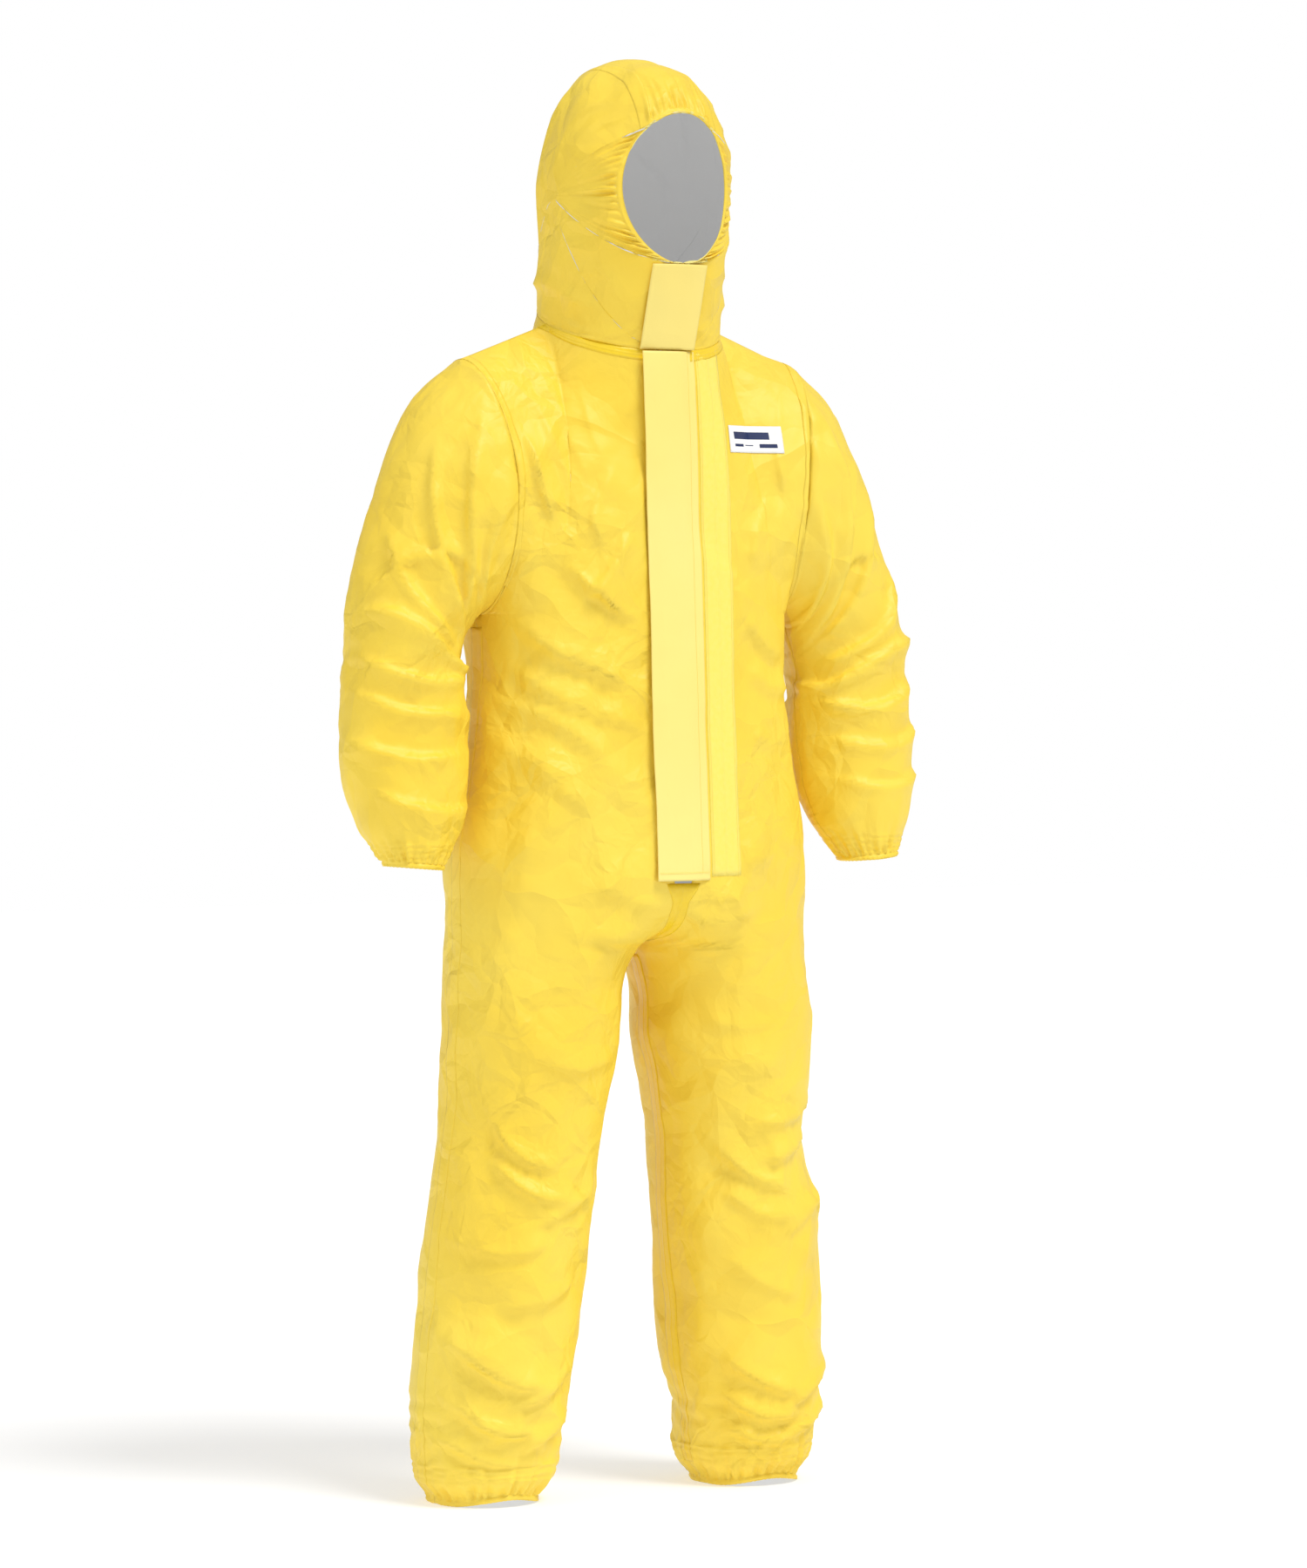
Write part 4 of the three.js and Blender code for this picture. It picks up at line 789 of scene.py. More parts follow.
def hand_folds(cloth, base, narrow=1.0):
    """Heights of the listed folds, with their widths times narrow."""
    height = np.zeros(len(base))
    fine = cloth.grids["sleeve_left"].shape[1] // SLEEVE_COLUMNS
    for side, sign in (("left", 1), ("right", -1)):
        front, back = cloth.grids[f"front_panel_{side}"], cloth.grids[f"back_panel_{side}"]
        legs = LEFT_LEG_FOLDS if sign > 0 else RIGHT_LEG_FOLDS
        for grid, folds in ((front, TORSO_FOLDS + legs), (back, BACK_FOLDS)):
            ids = np.unique(grid)
            at = base[ids][:, [0, 2]]
            height[ids] = fold_height(at, [(p, h, w * narrow) for p, h, w in folds])
        grid = cloth.grids[f"sleeve_{side}"]
        r, c = np.mgrid[0:grid.shape[0], 0:grid.shape[1]]
        rows = arc(base[grid[:, fine * SLEEVE_COLUMNS // 4]])
        s = (rows / rows[-1])[r]
        quarter = c / (fine * SLEEVE_COLUMNS / 4)
        folds = LEFT_SLEEVE_FOLDS if sign > 0 else RIGHT_SLEEVE_FOLDS
        scaled = [([(a, b * 0.17) for a, b in line], h, w * narrow) for line, h, w in folds]
        at = np.stack([s.ravel(), quarter.ravel() * 0.17], 1)
        height[grid.ravel()] = fold_height(at, scaled)
        grid = cloth.grids[f"hood_side_{side}"]
        ids = np.unique(grid)
        folds = [(p, h, w * narrow) for p, h, w in HOOD_FOLDS]
        height[ids] = fold_height(base[ids][:, [1, 2]], folds)
    return np.clip(height, -9, 13)


def finer(grid, closed):
    """A grid with a point between each two, on a smooth curve through them."""
    def down(g, ring):
        if ring:
            before, after, last = np.roll(g, 1, 0), np.roll(g, -1, 0), np.roll(g, -2, 0)
            mid = (-before + 9 * g + 9 * after - last) / 16
            out = np.empty((2 * len(g),) + g.shape[1:])
            out[0::2], out[1::2] = g, mid
            return out
        pad = np.concatenate([2 * g[:1] - g[1:2], g, 2 * g[-1:] - g[-2:-1]])
        mid = (-pad[:-3] + 9 * pad[1:-2] + 9 * pad[2:-1] - pad[3:]) / 16
        out = np.empty((2 * len(g) - 1,) + g.shape[1:])
        out[0::2], out[1::2] = g, mid
        return out
    g = down(grid, False)
    return down(g.transpose(1, 0, 2), closed).transpose(1, 0, 2)


def pleats(along, depth_from, reach, seed, count):
    """Gathers: fine beside the elastic, wider and fewer further from it."""
    rng = np.random.default_rng(seed)
    phase = rng.uniform(0, 6, 4)
    drift = 0.9 * np.sin(2 * math.pi * along * 3 + phase[0]) + 0.6 * np.sin(
        2 * math.pi * along * 7 + phase[1])
    fine = np.sin(2 * math.pi * along * count + drift)
    wide = np.sin(2 * math.pi * along * round(count * 0.5) + 1.7 * drift + phase[2])
    d = depth_from / reach
    rise = 1 - np.exp(-depth_from / 3.0)
    near = rise * np.exp(-d * 3.2)
    far = rise * np.clip(d * 3, 0, 1) * np.exp(-d * 1.7)
    uneven = 0.75 + 0.35 * np.sin(2 * math.pi * along * 5 + phase[3])
    return (fine * near + 0.9 * wide * far) * uneven


# ------------------------------------------------------------------ finishes
def linear(code):
    """sRGB hex to linear."""
    values = [int(code[i:i + 2], 16) / 255 for i in (1, 3, 5)]
    return tuple(v / 12.92 if v <= 0.04045 else ((v + 0.055) / 1.055) ** 2.4
                 for v in values) + (1.0,)


def add(tree, kind, inputs=(), links=(), **settings):
    """Adds a node with its settings, input values and links into it."""
    node = tree.nodes.new(kind)
    for key, value in settings.items():
        setattr(node, key, value)
    for key, value in dict(inputs).items():
        node.inputs[key].default_value = value
    for key, socket in dict(links).items():
        tree.links.new(socket, node.inputs[key])
    return node


def finish(name, colour, roughness, **sockets):
    """A new material with one Principled shader: (material, tree, shader)."""
    material = bpy.data.materials.new(name)
    material.use_nodes = True
    tree = material.node_tree
    shader = tree.nodes["Principled BSDF"]
    shader.inputs["Base Color"].default_value = colour
    shader.inputs["Roughness"].default_value = roughness
    for key, value in sockets.items():
        shader.inputs[key.replace("_", " ")].default_value = value
    return material, tree, shader


def laminated_nonwoven(name, colour, deep, crumple=1.0):
    """Polyethylene film laminated on spunbonded nonwoven: a satin sheen, and papery
    creases that break it into flat facets."""
    material, tree, shader = finish(name, colour, 0.52, IOR=1.5, Specular_IOR_Level=0.5)
    uv = add(tree, "ShaderNodeUVMap", uv_map="cloth").outputs["UV"]
    place = add(tree, "ShaderNodeTexCoord").outputs["Object"]
    warp = add(tree, "ShaderNodeTexNoise", {"Scale": 9.0, "Detail": 2.0}, {"Vector": place})
    bent = add(tree, "ShaderNodeMix", {"Factor": 0.06}, {"A": place, "B": warp.outputs["Color"]},
               data_type="VECTOR").outputs[1]
    # Creases come and go over patches about 150 mm across.
    patch = add(tree, "ShaderNodeTexNoise", {"Scale": 6.5, "Detail": 1.0}, {"Vector": place})
    where = add(tree, "ShaderNodeMapRange", {"From Min": 0.36, "From Max": 0.66, "To Min": 0.12},
                {"Value": patch.outputs["Fac"]}).outputs[0]
    normal = None
    # Facets of one size in mm: how steeply they stand, whether they come and go, and
    # whether their edges stand up.
    for size, slope, patchy, edges_up in ((105.0, 0.16, False, True), (44.0, 0.17, True, False),
                                          (14.0, 0.10, True, True)):
        cells = add(tree, "ShaderNodeTexVoronoi", {"Scale": 1000 / size, "Randomness": 1.0},
                    {"Vector": bent}, feature="DISTANCE_TO_EDGE")
        height = cells.outputs["Distance"]
        if patchy:
            height = add(tree, "ShaderNodeMath", {}, {0: height, 1: where},
                         operation="MULTIPLY").outputs[0]
        links = {"Height": height}
        if normal:
            links["Normal"] = normal
        depth = size * MM * slope * crumple
        normal = add(tree, "ShaderNodeBump", {"Strength": 1.0, "Distance": depth}, links,
                     invert=edges_up).outputs["Normal"]
    # Fibres of the nonwoven under the film, drawn 1.6 mm coarse to show.
    fibre = add(tree, "ShaderNodeTexNoise", {"Scale": 620.0, "Detail": 2.0}, {"Vector": uv})
    bump = add(tree, "ShaderNodeBump", {"Strength": 0.16, "Distance": 0.0002},
               {"Height": fibre.outputs["Fac"], "Normal": normal})
    tree.links.new(bump.outputs["Normal"], shader.inputs["Normal"])
    cloud = add(tree, "ShaderNodeTexNoise", {"Scale": 3.5, "Detail": 3.0}, {"Vector": place})
    tone = add(tree, "ShaderNodeMapRange", {"From Min": 0.35, "From Max": 0.7},
               {"Value": cloud.outputs["Fac"]})
    shade = add(tree, "ShaderNodeMix", {"A": colour, "B": deep}, {"Factor": tone.outputs[0]},
                data_type="RGBA")
    tree.links.new(shade.outputs[2], shader.inputs["Base Color"])
    rough = add(tree, "ShaderNodeMapRange", {"To Min": 0.46, "To Max": 0.60},
                {"Value": fibre.outputs["Fac"]})
    tree.links.new(rough.outputs[0], shader.inputs["Roughness"])
    return material


def spunbond(name, colour):
    """The bare side of the nonwoven: matt white polyethylene fibres, with a painted glow."""
    material, tree, shader = finish(name, colour, 0.85, IOR=1.5, Specular_IOR_Level=0.25)
    # Painted light: the inside glows in its own colour, standing in for daylight through the thin
    # cloth.
    shader.inputs["Emission Color"].default_value = colour
    shader.inputs["Emission Strength"].default_value = 0.25
    place = add(tree, "ShaderNodeTexCoord").outputs["Object"]
    fibre = add(tree, "ShaderNodeTexNoise", {"Scale": 480.0, "Detail": 3.0}, {"Vector": place})
    bump = add(tree, "ShaderNodeBump", {"Strength": 0.25, "Distance": 0.0003},
               {"Height": fibre.outputs["Fac"]})
    tree.links.new(bump.outputs["Normal"], shader.inputs["Normal"])
    shade = add(tree, "ShaderNodeMapRange", {"To Min": 0.80, "To Max": 0.9},
                {"Value": fibre.outputs["Fac"]})
    tree.links.new(shade.outputs[0], shader.inputs["Roughness"])
    return material


def heat_sealed_tape(name, colour, edge):
    """Polyethylene seam tape: glossier than the suit, with a stitched line pressed
    through it along the middle."""
    material, tree, shader = finish(name, colour, 0.34, IOR=1.5, Specular_IOR_Level=0.5)
    uv = add(tree, "ShaderNodeUVMap", uv_map="cloth").outputs["UV"]
    parts = add(tree, "ShaderNodeSeparateXYZ", {}, {"Vector": uv})
    # Puckers every 6 mm or so along the tape.
    pucker = add(tree, "ShaderNodeTexNoise", {"Scale": 150.0, "Detail": 2.0}, {"Vector": uv})
    ridge = add(tree, "ShaderNodeMath", {1: 0.0}, {0: parts.outputs["X"]}, operation="ABSOLUTE")
    line = add(tree, "ShaderNodeMapRange", {"From Max": 0.0022, "To Min": 1.0, "To Max": 0.0},
               {"Value": ridge.outputs[0]}, interpolation_type="SMOOTHSTEP")
    total = add(tree, "ShaderNodeMath", {2: 0.35}, {0: pucker.outputs["Fac"], 1: line.outputs[0]},
                operation="ADD")
    bump = add(tree, "ShaderNodeBump", {"Strength": 0.5, "Distance": 0.0008},
               {"Height": total.outputs[0]})
    tree.links.new(bump.outputs["Normal"], shader.inputs["Normal"])
    shade = add(tree, "ShaderNodeMix", {"A": colour, "B": edge}, {"Factor": pucker.outputs["Fac"]},
                data_type="RGBA")
    tree.links.new(shade.outputs[2], shader.inputs["Base Color"])
    return material


def covered_elastic(name, colour):
    """Covered rubber elastic: matt ribs about 1.2 mm apart."""
    material, tree, shader = finish(name, colour, 0.7, Specular_IOR_Level=0.3)
    uv = add(tree, "ShaderNodeUVMap", uv_map="cloth").outputs["UV"]
    ribs = add(tree, "ShaderNodeTexWave", {"Scale": 260.0, "Distortion": 1.0}, {"Vector": uv},
               bands_direction="X")
    bump = add(tree, "ShaderNodeBump", {"Strength": 0.4, "Distance": 0.0004},
               {"Height": ribs.outputs["Fac"]})
    tree.links.new(bump.outputs["Normal"], shader.inputs["Normal"])
    return material


def moulded(name, colour, roughness, grain):
    """Injection-moulded plastic with a fine grain."""
    material, tree, shader = finish(name, colour, roughness, IOR=1.46)
    place = add(tree, "ShaderNodeTexCoord").outputs["Object"]
    noise = add(tree, "ShaderNodeTexNoise", {"Scale": grain, "Detail": 2.0}, {"Vector": place})
    bump = add(tree, "ShaderNodeBump", {"Strength": 0.2, "Distance": 0.0002},
               {"Height": noise.outputs["Fac"]})
    tree.links.new(bump.outputs["Normal"], shader.inputs["Normal"])
    rough = add(tree, "ShaderNodeMapRange", {"To Min": roughness - 0.05,
                "To Max": roughness + 0.08}, {"Value": noise.outputs["Fac"]})
    tree.links.new(rough.outputs[0], shader.inputs["Roughness"])
    return material


# [left, right, bottom, top] of each printed bar, in metres from the label's middle.
LABEL_BARS = (
    (-0.034, 0.026, 0.000, 0.0092),
    (-0.034, -0.016, -0.0095, -0.0060),
    (0.012, 0.034, -0.0105, -0.0055),
    (-0.012, 0.004, -0.0082, -0.0070),
)


def printed_label(name, ground, ink):
    """Printed film: white, with dark bars where a maker's lettering would be."""
    material, tree, shader = finish(name, ground, 0.5, Specular_IOR_Level=0.4)
    uv = add(tree, "ShaderNodeUVMap", uv_map="cloth").outputs["UV"]
    parts = add(tree, "ShaderNodeSeparateXYZ", {}, {"Vector": uv})
    x, y = parts.outputs["X"], parts.outputs["Y"]

    def span(value, low, high):
        over = add(tree, "ShaderNodeMath", {1: low}, {0: value}, operation="GREATER_THAN")
        under = add(tree, "ShaderNodeMath", {1: high}, {0: value}, operation="LESS_THAN")
        return add(tree, "ShaderNodeMath", {}, {0: over.outputs[0], 1: under.outputs[0]},
                   operation="MULTIPLY").outputs[0]

    total = None
    for left, right, low, high in LABEL_BARS:
        bar = add(tree, "ShaderNodeMath", {}, {0: span(x, left, right), 1: span(y, low, high)},
                  operation="MULTIPLY").outputs[0]
        if total is None:
            total = bar
        else:
            total = add(tree, "ShaderNodeMath", {}, {0: total, 1: bar},
                        operation="MAXIMUM").outputs[0]
    shade = add(tree, "ShaderNodeMix", {"A": ground, "B": ink}, {"Factor": total},
                data_type="RGBA")
    tree.links.new(shade.outputs[2], shader.inputs["Base Color"])
    return material


def mesh_object(name, points_mm, faces, uv=None, material=None, lining=None, wall_mm=0.0):
    """A smooth mesh in metres, with its cloth UV and, for cloth, a wall inwards."""
    mesh = bpy.data.meshes.new(name)
    mesh.from_pydata((np.asarray(points_mm) * MM).tolist(), [], faces)
    mesh.polygons.foreach_set("use_smooth", np.ones(len(mesh.polygons), bool))
    if uv is not None:
        layer = mesh.uv_layers.new(name="cloth")
        loops = np.zeros(len(mesh.loops), int)
        mesh.loops.foreach_get("vertex_index", loops)
        layer.data.foreach_set("uv", (np.asarray(uv)[loops] * MM).ravel().astype(np.float32))
    mesh.update()
    piece = bpy.data.objects.new(name, mesh)
    bpy.context.scene.collection.objects.link(piece)
    if material is not None:
        mesh.materials.append(material)
    if lining is not None:
        mesh.materials.append(lining)
    if wall_mm:
        wall = piece.modifiers.new("wall", "SOLIDIFY")
        wall.thickness = wall_mm * MM
        wall.offset = -1
        wall.material_offset = 1 if lining is not None else 0
        wall.material_offset_rim = 0
        wall.use_quality_normals = False
    return piece


def grid_faces(rows, columns, closed=False, flip=False):
    index = np.arange(rows * columns).reshape(rows, columns)
    if closed:
        index = np.column_stack([index, index[:, 0]])
    quads = np.stack([index[:-1, :-1], index[:-1, 1:], index[1:, 1:], index[1:, :-1]], -1)
    quads = quads.reshape(-1, 4)
    return (quads[:, ::-1] if flip else quads).tolist()


def grid_uv(grid):
    """Arc lengths across and along, in mm, from the middle column."""
    across = np.concatenate([np.zeros((len(grid), 1)),
                             np.cumsum(np.linalg.norm(np.diff(grid, axis=1), axis=2), 1)], 1)
    across -= across[:, -1:] / 2
    along = arc(grid[:, grid.shape[1] // 2])
    return np.stack([across, np.broadcast_to(along[:, None], across.shape)], -1).reshape(-1, 2)


def sheet_of(name, grid, closed=False, flip=False, material=None, lining=None, wall=0.0):
    faces = grid_faces(grid.shape[0], grid.shape[1], closed, flip)
    return mesh_object(name, grid.reshape(-1, 3), faces, grid_uv(grid), material, lining, wall)


def sampled(line, normals, distances):
    """Points and normals at distances in mm along a line."""
    length = arc(line)
    at = np.asarray(distances, float)
    p = np.stack([np.interp(at, length, line[:, k]) for k in range(3)], 1)
    n = np.stack([np.interp(at, length, normals[:, k]) for k in range(3)], 1)
    return p, n / np.linalg.norm(n, axis=1, keepdims=True)


def one_tape(pairs, reach, lift, both):
    """A tape over a seam. Each pair holds the line and normals that lead away from the
    seam on either side; with both False the tape lies on the first side only."""
    rows = []
    steps = np.linspace(0, reach, 5)
    for side_a, side_b in pairs:
        p, n = sampled(*side_a, steps)
        row = (p + n * lift)[::-1]
        if both:
            q, m = sampled(*side_b, steps)
            middle = n[0] + m[0]
            middle /= np.linalg.norm(middle)
            centre = (p[0] + q[0]) / 2 + middle * lift
            row = np.concatenate([row[:-1], [centre], (q + m * lift)[1:]])
        rows.append(row)
    return np.array(rows)


class Garment:
    """The draped cloth, refined, with its gathers: grids and normals by panel name."""

    grids = {}
    normals = {}
    base = {}
    flip = {}


def build_garment(rounds, slack, seed):
    """Sews, drapes and refines the garment, then adds its small folds and gathers."""
    cloth = sew()
    base, normal = drape(cloth, rounds, slack, seed)
    fine, fine_base = Cloth(), {}
    for name, grid in cloth.grids.items():
        closed = cloth.closed[name]
        fine_base[name] = finer(base[grid], closed)
        fine.add(name, finer(cloth.points[grid], closed), closed, cloth.flip[name])
    points = fine.points.copy()
    smooth = fine.normals(points)
    rest = np.zeros_like(points)
    for name, grid in fine.grids.items():
        rest[grid.ravel()] = fine_base[name].reshape(-1, 3)
    lift = np.zeros(len(points))
    seam = seam_fade(fine)
    small = 2.2 * Facets(31, 96)(rest) + 0.5 * Facets(47, 40)(rest)
    lift += (small + 0.75 * hand_folds(fine, rest, 0.6)) * seam * calm_hood(fine)
    lift += gathers(fine, rest)
    points = points + smooth * lift[:, None]
    fine.points = points
    final = fine.normals(points)
    for name, grid in fine.grids.items():
        Garment.grids[name] = points[grid]
        Garment.normals[name] = final[grid]
        Garment.base[name] = rest[grid]
    Garment.flip = fine.flip


def seam_fade(cloth):
    """0 at held edges and beside the flap, 1 elsewhere."""
    fade = np.ones(len(cloth.points))
    for name, grid in cloth.grids.items():
        fade[grid[0]] = fade[grid[-1]] = 0
        if name.startswith(("front", "back")):
            fade[grid[2 * LOWER_ROWS:, -1]] = 0
    at = cloth.points
    near = (at[:, 1] < -60) & (at[:, 2] > 770) & (at[:, 2] < 1440)
    fade *= np.where(near, ease((np.abs(at[:, 0] - 20) - 50) / 30), 1)
    off = np.maximum(np.abs(at[:, 0] - LABEL_AT[0]) - LABEL_QUIET[0],
                     np.abs(at[:, 2] - LABEL_AT[1]) - LABEL_QUIET[1])
    return fade * np.where(at[:, 1] < 0, 0.15 + 0.85 * ease(off / 30), 1)


# Height of the flat band at a hem, in mm. The gathers start above it.
HEM_BAND = 6.5


def gathers(cloth, rest):
    """Heights of the gathers at the ankles, wrists, face opening and waist."""
    lift = np.zeros(len(rest))
    for k, side in enumerate(("left", "right")):
        for j, part in enumerate(("front", "back")):
            grid = cloth.grids[f"{part}_panel_{side}"]
            rows, columns = grid.shape
            share = (np.arange(columns) / (columns - 1))[None, :] * np.ones((rows, 1))
            up = rest[grid][:, :, 2] - rest[grid][:1, :, 2]
            ends = ease(share / 0.06) * ease((1 - share) / 0.06)
            wave = pleats(share, np.maximum(up - HEM_BAND, 0), 46, 11 + 3 * k + j, 19)
            lift[grid] += 5.0 * wave * ends
            band = ease((HEM_BAND - up) / 2.0)
            lift[grid] += band * (0.9 + 0.35 * np.sin(2 * math.pi * share * 34)) * ends
            if part == "back":
                z = rest[grid][:, :, 2]
                wave = pleats(share, np.abs(z - WAIST), 60, 40 + k, 13)
                lift[grid] += 3.4 * wave * ease((1 - share) / 0.25)
        grid = cloth.grids[f"sleeve_{side}"]
        rows, columns = grid.shape
        p = rest[grid]
        step = np.linalg.norm(np.diff(p, axis=0), axis=2)
        down = np.concatenate([np.cumsum(step[::-1], 0)[::-1], np.zeros((1, columns))])
        share = (np.arange(columns) / columns)[None, :] * np.ones((rows, 1))
        wave = pleats(share, np.maximum(down - HEM_BAND, 0), 40, 21 + k, 27)
        lift[grid] += 4.4 * wave
        band = ease((HEM_BAND - down) / 2.0)
        lift[grid] += band * (0.8 + 0.35 * np.sin(2 * math.pi * share * 40))
        top = np.concatenate([np.zeros((1, columns)), np.cumsum(step, 0)])
        front = ease(np.sin(2 * math.pi * share)) * ease(np.cos(2 * math.pi * share) + 0.7)
        lift[grid] += 3.2 * pleats(share, top, 70, 61 + k, 16) * front
        grid = cloth.grids[f"hood_side_{side}"]
        rows, columns = grid.shape
        p = rest[grid]
        start = 2 * (HOOD_NECK + CROWN_ROWS - 2)
        steps = 2 * (FACE_STEPS - 1)
        share = (np.arange(columns) - start) / steps
        inside = ease((share + 0.01) / 0.10) * ease((1.0 - share) / 0.14)
        step = np.linalg.norm(np.diff(p, axis=0), axis=2)
        away = np.concatenate([np.zeros((1, columns)), np.cumsum(step, 0)])
        wave = pleats(np.clip(share, 0, 1)[None, :] * 0.6 + 0.1 * k, np.maximum(away - 6, 0), 42,
                      71, 34)
        lift[grid] += 5.0 * wave * inside[None, :]
        band = ease((6 - away) / 2.0) * inside[None, :]
        lift[grid] += 0.9 * band
    grid = cloth.grids["hood_center_panel"]
    p = rest[grid]
    step = np.linalg.norm(np.diff(p, axis=0), axis=2)
    away = np.concatenate([np.zeros((1, p.shape[1])), np.cumsum(step, 0)])
    share = np.linspace(0, 1, p.shape[1])[None, :] * np.ones((p.shape[0], 1))
    ends = ease(share / 0.05) * ease((1 - share) / 0.05)
    extra = 5.6 * pleats(share * 0.4, np.maximum(away - 6, 0), 42, 77, 30) * ends
    extra += 0.9 * ease((6 - away) / 2.0)
    lift[grid] += extra
    return lift


# ------------------------------------------------------------------ stitches
def stitch_tree(material):
    """Geometry nodes: a stitch at every step along a seam line."""
    tree = bpy.data.node_groups.new("lockstitch_seam", "GeometryNodeTree")
    face = tree.interface
    face.new_socket("Geometry", in_out="INPUT", socket_type="NodeSocketGeometry")
    for label, value in (("Stitch spacing", 0.0032), ("Stitch length", 0.0024),
                         ("Thread radius", 0.0003)):
        socket = face.new_socket(label, in_out="INPUT", socket_type="NodeSocketFloat")
        socket.default_value = value
        socket.subtype = "DISTANCE"
    face.new_socket("Geometry", in_out="OUTPUT", socket_type="NodeSocketGeometry")
    start = add(tree, "NodeGroupInput").outputs
    curve = add(tree, "GeometryNodeMeshToCurve", {}, {"Mesh": start["Geometry"]})
    points = add(tree, "GeometryNodeResampleCurve", {}, {"Curve": curve.outputs[0],
                 "Length": start["Stitch spacing"]}, mode="LENGTH")
    tangent = add(tree, "GeometryNodeInputTangent")
    turn = add(tree, "FunctionNodeAlignRotationToVector", {}, {"Vector": tangent.outputs[0]},
               axis="Z")
    thread = add(tree, "GeometryNodeMeshCylinder", {"Vertices": 6, "Side Segments": 1},
                 {"Radius": start["Thread radius"], "Depth": start["Stitch length"]})
    copies = add(tree, "GeometryNodeInstanceOnPoints", {}, {"Points": points.outputs[0],
                 "Instance": thread.outputs["Mesh"], "Rotation": turn.outputs[0]})
    real = add(tree, "GeometryNodeRealizeInstances", {}, {"Geometry": copies.outputs[0]})
    painted = add(tree, "GeometryNodeSetMaterial", {"Material": material},
                  {"Geometry": real.outputs[0]})
    add(tree, "NodeGroupOutput", {}, {"Geometry": painted.outputs[0]})
    return tree


def stitched(name, lines_mm, material, body):
    """Stitches along lines of points, as one plain mesh on a body."""
    points, edges = [], []
    for line in lines_mm:
        first = len(points)
        points += (np.asarray(line) * MM).tolist()
        edges += [(first + i, first + i + 1) for i in range(len(line) - 1)]
    mesh = bpy.data.meshes.new(name + "_line")
    mesh.from_pydata(points, edges, [])
    guide = bpy.data.objects.new(name + "_line", mesh)
    bpy.context.scene.collection.objects.link(guide)
    return from_nodes(name, guide, stitch_tree(material), {}, body)


def from_nodes(name, guide, tree, values, body):
    """The plain mesh that a node tree makes from a guide, on a body."""
    modifier = guide.modifiers.new("pattern", "NODES")
    modifier.node_group = tree
    for item in tree.interface.items_tree:
        if item.item_type == "SOCKET" and item.in_out == "INPUT" and item.name in values:
            modifier[item.identifier] = values[item.name]
    deps = bpy.context.evaluated_depsgraph_get()
    mesh = bpy.data.meshes.new_from_object(guide.evaluated_get(deps))
    guide.modifiers.remove(modifier)
    bpy.data.objects.remove(guide)
    mesh.name = name
    piece = bpy.data.objects.new(name, mesh)
    bpy.context.scene.collection.objects.link(piece)
    if not len(mesh.polygons):
        raise RuntimeError(f"{name}: the node tree made no faces")
    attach(piece, body)
    return piece


def teeth_tree(material):
    """Geometry nodes: moulded zip teeth at every step along the edge of a zip tape."""
    tree = bpy.data.node_groups.new("moulded_zip_teeth", "GeometryNodeTree")
    face = tree.interface
    face.new_socket("Geometry", in_out="INPUT", socket_type="NodeSocketGeometry")
    for label, kind, value in (("Tooth pitch", "Float", 0.0025),
                               ("Tooth size", "Vector", (0.0028, 0.0030, 0.0013))):
        socket = face.new_socket(label, in_out="INPUT", socket_type=f"NodeSocket{kind}")
        socket.default_value = value
    face.new_socket("Geometry", in_out="OUTPUT", socket_type="NodeSocketGeometry")
    start = add(tree, "NodeGroupInput").outputs
    curve = add(tree, "GeometryNodeMeshToCurve", {}, {"Mesh": start["Geometry"]})
    points = add(tree, "GeometryNodeResampleCurve", {}, {"Curve": curve.outputs[0],
                 "Length": start["Tooth pitch"]}, mode="LENGTH")
    tooth = add(tree, "GeometryNodeMeshCube", {}, {"Size": start["Tooth size"]})
    copies = add(tree, "GeometryNodeInstanceOnPoints", {}, {"Points": points.outputs[0],
                 "Instance": tooth.outputs["Mesh"]})
    real = add(tree, "GeometryNodeRealizeInstances", {}, {"Geometry": copies.outputs[0]})
    painted = add(tree, "GeometryNodeSetMaterial", {"Material": material},
                  {"Geometry": real.outputs[0]})
    add(tree, "NodeGroupOutput", {}, {"Geometry": painted.outputs[0]})
    return tree


# ------------------------------------------------------------------ settings
class SuitSizes(bpy.types.PropertyGroup):
    """Sizes a maker would change."""
    drape_rounds: IntProperty(name="Drape rounds", default=150, min=1,
                              description="Rounds in which the cloth buckles and settles")
    slack: FloatProperty(name="Slack", default=1.0, min=0.0, max=2.0,
                         description="How generously the cloth is cut, 1 as designed")
    cloth_wall: FloatProperty(name="Fabric thickness", default=0.0006, subtype="DISTANCE",
                              unit="LENGTH", description="Thickness of the laminate")
    tape_wall: FloatProperty(name="Tape thickness", default=0.0003, subtype="DISTANCE",
                             unit="LENGTH", description="Thickness of the seam tape")
    flap_lift: FloatProperty(name="Flap stand-off", default=0.0058, subtype="DISTANCE",
                             unit="LENGTH", description="Room for the slider under the flap")


